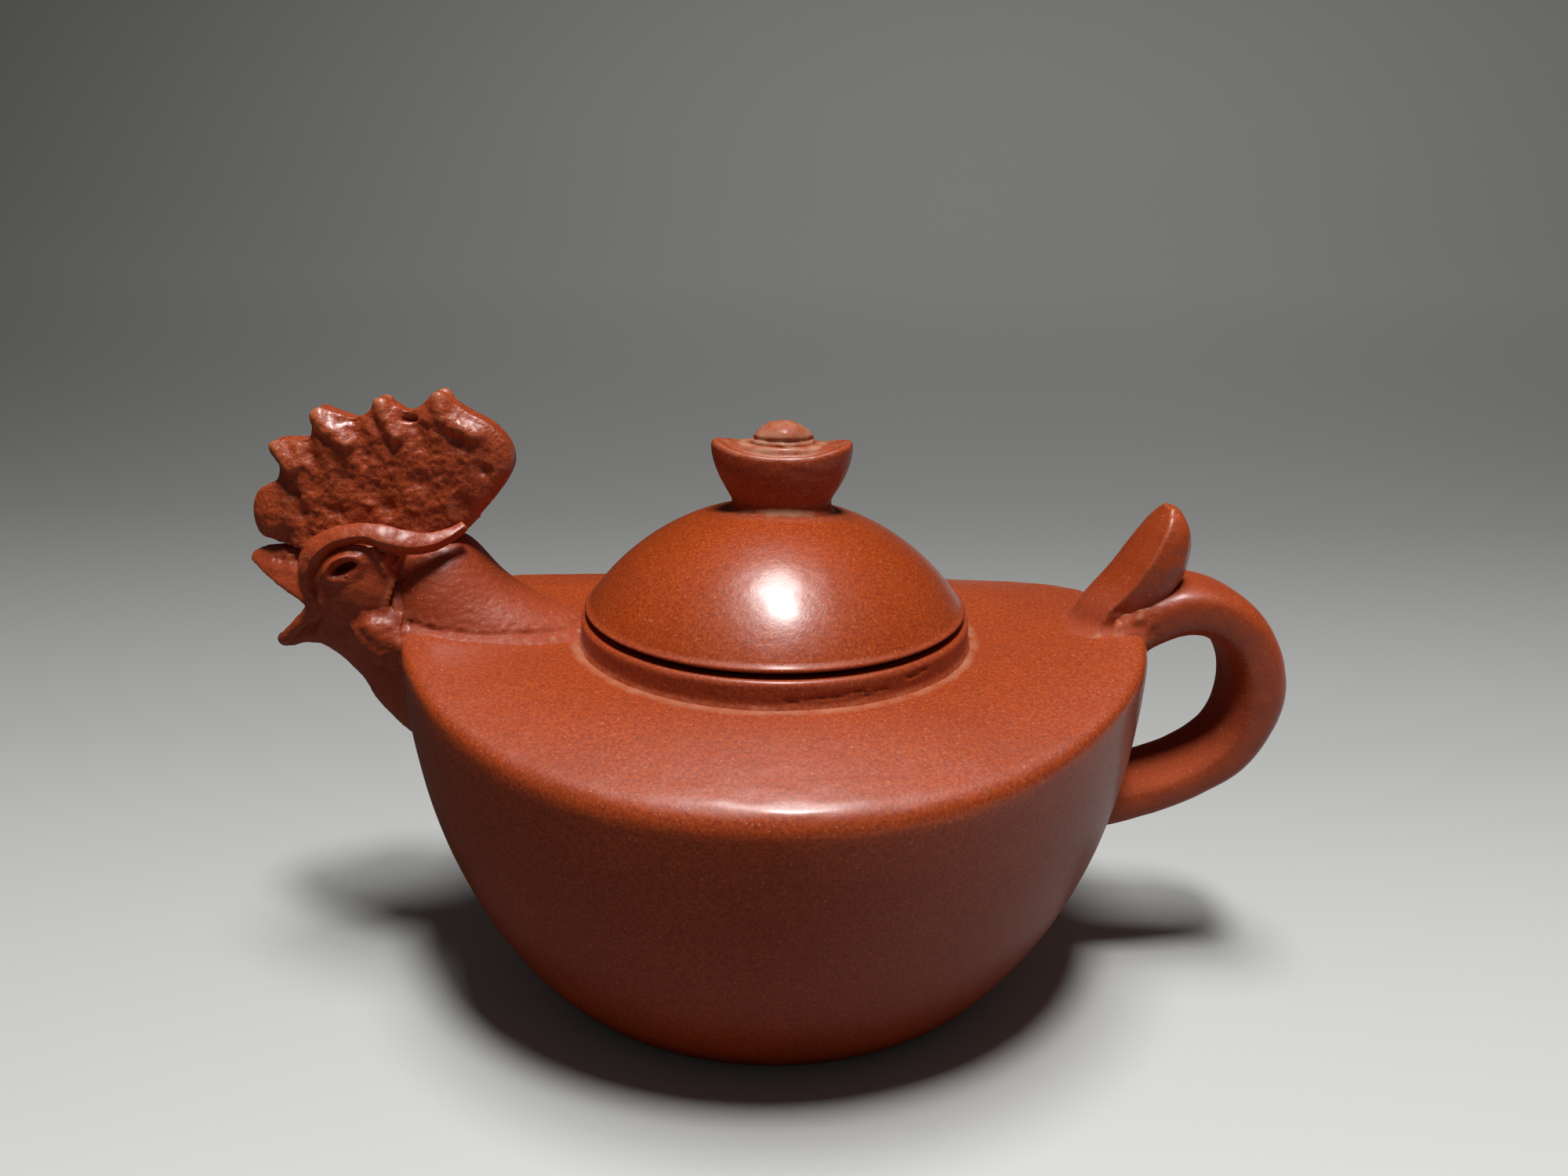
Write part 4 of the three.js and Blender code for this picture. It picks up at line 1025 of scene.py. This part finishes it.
def makeStage():
    bpy.ops.mesh.primitive_plane_add(size=3.2, location=(0, 0.2, 0))
    floor = named("table_sweep")
    bpy.ops.object.mode_set(mode="EDIT")
    bpy.ops.mesh.select_all(action="DESELECT")
    shape = bmesh.from_edit_mesh(floor.data)
    for edge in shape.edges:
        edge.select_set(all(v.co.y > 1 for v in edge.verts))
    bmesh.update_edit_mesh(floor.data)
    bpy.ops.mesh.extrude_region_move(TRANSFORM_OT_translate={"value": (0, 0, 2.4)})
    bpy.ops.object.mode_set(mode="OBJECT")
    bpy.ops.object.transform_apply()
    applied(floor, "BEVEL", width=1.5, segments=48, limit_method="ANGLE")
    bpy.ops.object.shade_smooth()
    material, tree = emptyMaterial("pale grey laminate")
    where = addNode(tree, "TexCoord").outputs["Object"]
    x, y, z = addNode(tree, "SeparateXYZ", {"Vector": where}).outputs
    reach = addNode(tree, "Math", {0: y, 1: z}, operation="ADD")
    far = addNode(tree, "MapRange", {"Value": reach, "From Min": stage["near"], "From Max": stage["far"]})
    fade = addNode(tree, "ValToRGB", {0: far})
    fade.color_ramp.interpolation = "B_SPLINE"
    for k, (place, tone) in enumerate(stage["paintedTones"]):
        spot = fade.color_ramp.elements[k] if k < 2 else fade.color_ramp.elements.new(place)
        spot.position = place
        spot.color = linear(tone)
    # sideShade paints the sweep darker to the left and lighter to the right
    aside = addNode(tree, "MapRange", {"Value": x, "From Min": -1, "From Max": 1,
                                       "To Min": 1 - stage["sideShade"], "To Max": 1 + stage["sideShade"]})
    sheet = addNode(tree, "VectorMath", {0: fade, "Scale": aside}, operation="SCALE")
    # the camera sees the pale sweep; its bounce onto the clay is dimmer, and only its right side mirrors palely
    ray = addNode(tree, "LightPath").outputs
    right = addNode(tree, "MapRange", {"Value": x, "From Min": 0, "From Max": 0.2})
    near = addNode(tree, "MapRange", {"Value": y, "From Min": 0.3, "From Max": 0.8, "To Min": 1, "To Max": 0.2})
    pale = addNode(tree, "Math", {0: right, 1: near}, operation="MULTIPLY")
    dark, light, bounce = (linear(tone) for tone in (*stage["mirror"], stage["bounce"]))
    mirrored = addNode(tree, "Mix", {0: pale, 6: dark, 7: light}, data_type="RGBA").outputs[2]
    lit = addNode(tree, "Mix", {0: ray["Is Glossy Ray"], 6: bounce, 7: mirrored}, data_type="RGBA").outputs[2]
    seen = addNode(tree, "Math", {0: ray["Is Camera Ray"], 1: ray["Is Transmission Ray"]}, operation="MAXIMUM")
    shown = addNode(tree, "Mix", {0: seen, 6: lit, 7: sheet}, data_type="RGBA").outputs[2]
    cloud = addNode(tree, "TexNoise", {"Vector": where, "Scale": 6, "Detail": 2}).outputs["Fac"]
    rough = addNode(tree, "MapRange", {"Value": cloud, "To Min": 0.5, "To Max": 0.6})
    skin = addNode(tree, "BsdfPrincipled", {"Base Color": shown, "Roughness": rough})
    addNode(tree, "OutputMaterial", {"Surface": skin})
    floor.data.materials.append(material)


lamps = {
    "ceiling_lamp": {"place": (0.05, -0.21, 0.93), "size": 0.15, "power": 5.4},
    "ceiling_panel": {"place": (0, -0.04, 0.96), "size": 0.3, "power": 5.6},
}
room = {"tone": "#e6e8ea", "fill": 0.06}


def makeLights():
    for name, lamp in lamps.items():
        bpy.ops.object.light_add(type="AREA", location=lamp["place"])
        hung = named(name)
        hung.data.shape = "DISK"
        hung.data.size = lamp["size"]
        hung.data.energy = lamp["power"]
        hung.rotation_mode = "QUATERNION"
        hung.rotation_quaternion = Vector(lamp["place"]).to_track_quat("Z", "Y")
    world = bpy.data.worlds.new("soft room")
    world.use_nodes = True
    background = world.node_tree.nodes["Background"]
    background.inputs["Color"].default_value = linear(room["tone"])
    background.inputs["Strength"].default_value = room["fill"]
    bpy.context.scene.world = world


view = {"place": (1.4, -181.7, 127.8), "down": 18.52, "roll": 0.94, "lens": 27, "sensor": 36, "near": 0.01}


def makeCamera():
    bpy.ops.object.camera_add(location=[v * mm for v in view["place"]])
    camera = named("photo_camera")
    camera.data.sensor_width = view["sensor"]
    camera.data.lens = view["lens"]
    camera.data.clip_start = view["near"]
    camera.rotation_mode = "QUATERNION"
    pitch = Quaternion((1, 0, 0), math.radians(90 - view["down"]))
    camera.rotation_quaternion = pitch @ Quaternion((0, 0, 1), math.radians(view["roll"]))
    bpy.context.scene.camera = camera


makeCamera()
makeLights()
makeStage()
bpy.context.scene.view_settings.view_transform = "Standard"

finishes = {
    "burnished_body": clay("burnished red zisha clay", burnished),
    "burnished_lid": clay("polished red zisha clay", polished),
    "tooled_head": clay("needle-tooled red clay", tooled),
    "hammered_comb": clay("hammered red clay", hammered),
    "handle_clay": clay("wiped red clay", wiped),
    "inner_clay": clay("scraped unburnished clay", scraped),
}

print("bowl")
bowlLump = envelope("bowl_lump", 0.9)
needle = rolled("channel_needle", [(x, 0, z) for x, z in spout["channel"]], spout["channelRadius"], 32, 48)
bowl = makeBowl(needle)
dressed(bowl, "pot", "burnished_body", "body_wall", "base_slab", "shoulder_plate")
print("collar and lid")
dressed(makeCollar(), "pot", "burnished_body", "collar")
dome = makeDome()
dressed(dome, "lid", "burnished_lid", "lid_dome")
dressed(makeFlange(), "lid", "inner_clay", "lid_flange")
dressed(makeKnob(dome), "lid", "burnished_lid", "knob_ingot")
dressed(makeEgg(), "lid", "burnished_lid", "knob_egg")
print("rooster head")
spoutPiece = makeSpout(bowlLump, bowl, needle)
dressed(spoutPiece, "pot", "tooled_head", "neck", "head", "upper_beak", "lower_beak")
dressed(makeComb(), "pot", "hammered_comb", "comb")
for side, word in ((-1, "left"), (1, "right")):
    dressed(makeBrow(side, word), "pot", "tooled_head", "brow_" + word)
    dressed(makeEye(side, word, spoutPiece), "pot", "tooled_head", "eye_" + word)
    dressed(makeLobe(side, word, spoutPiece), "pot", "tooled_head", "wattle_" + word)
print("handle and feather")
dressed(makeHandle(bowlLump, bowl), "pot", "handle_clay", "handle")
dressed(makeFeather(bowlLump, bowl), "pot", "handle_clay", "tail_feather")
thrownAway(bowlLump, needle)

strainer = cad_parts["strainer"]
strainer.data.materials.clear()
strainer.data.materials.append(finishes["inner_clay"])

pick()
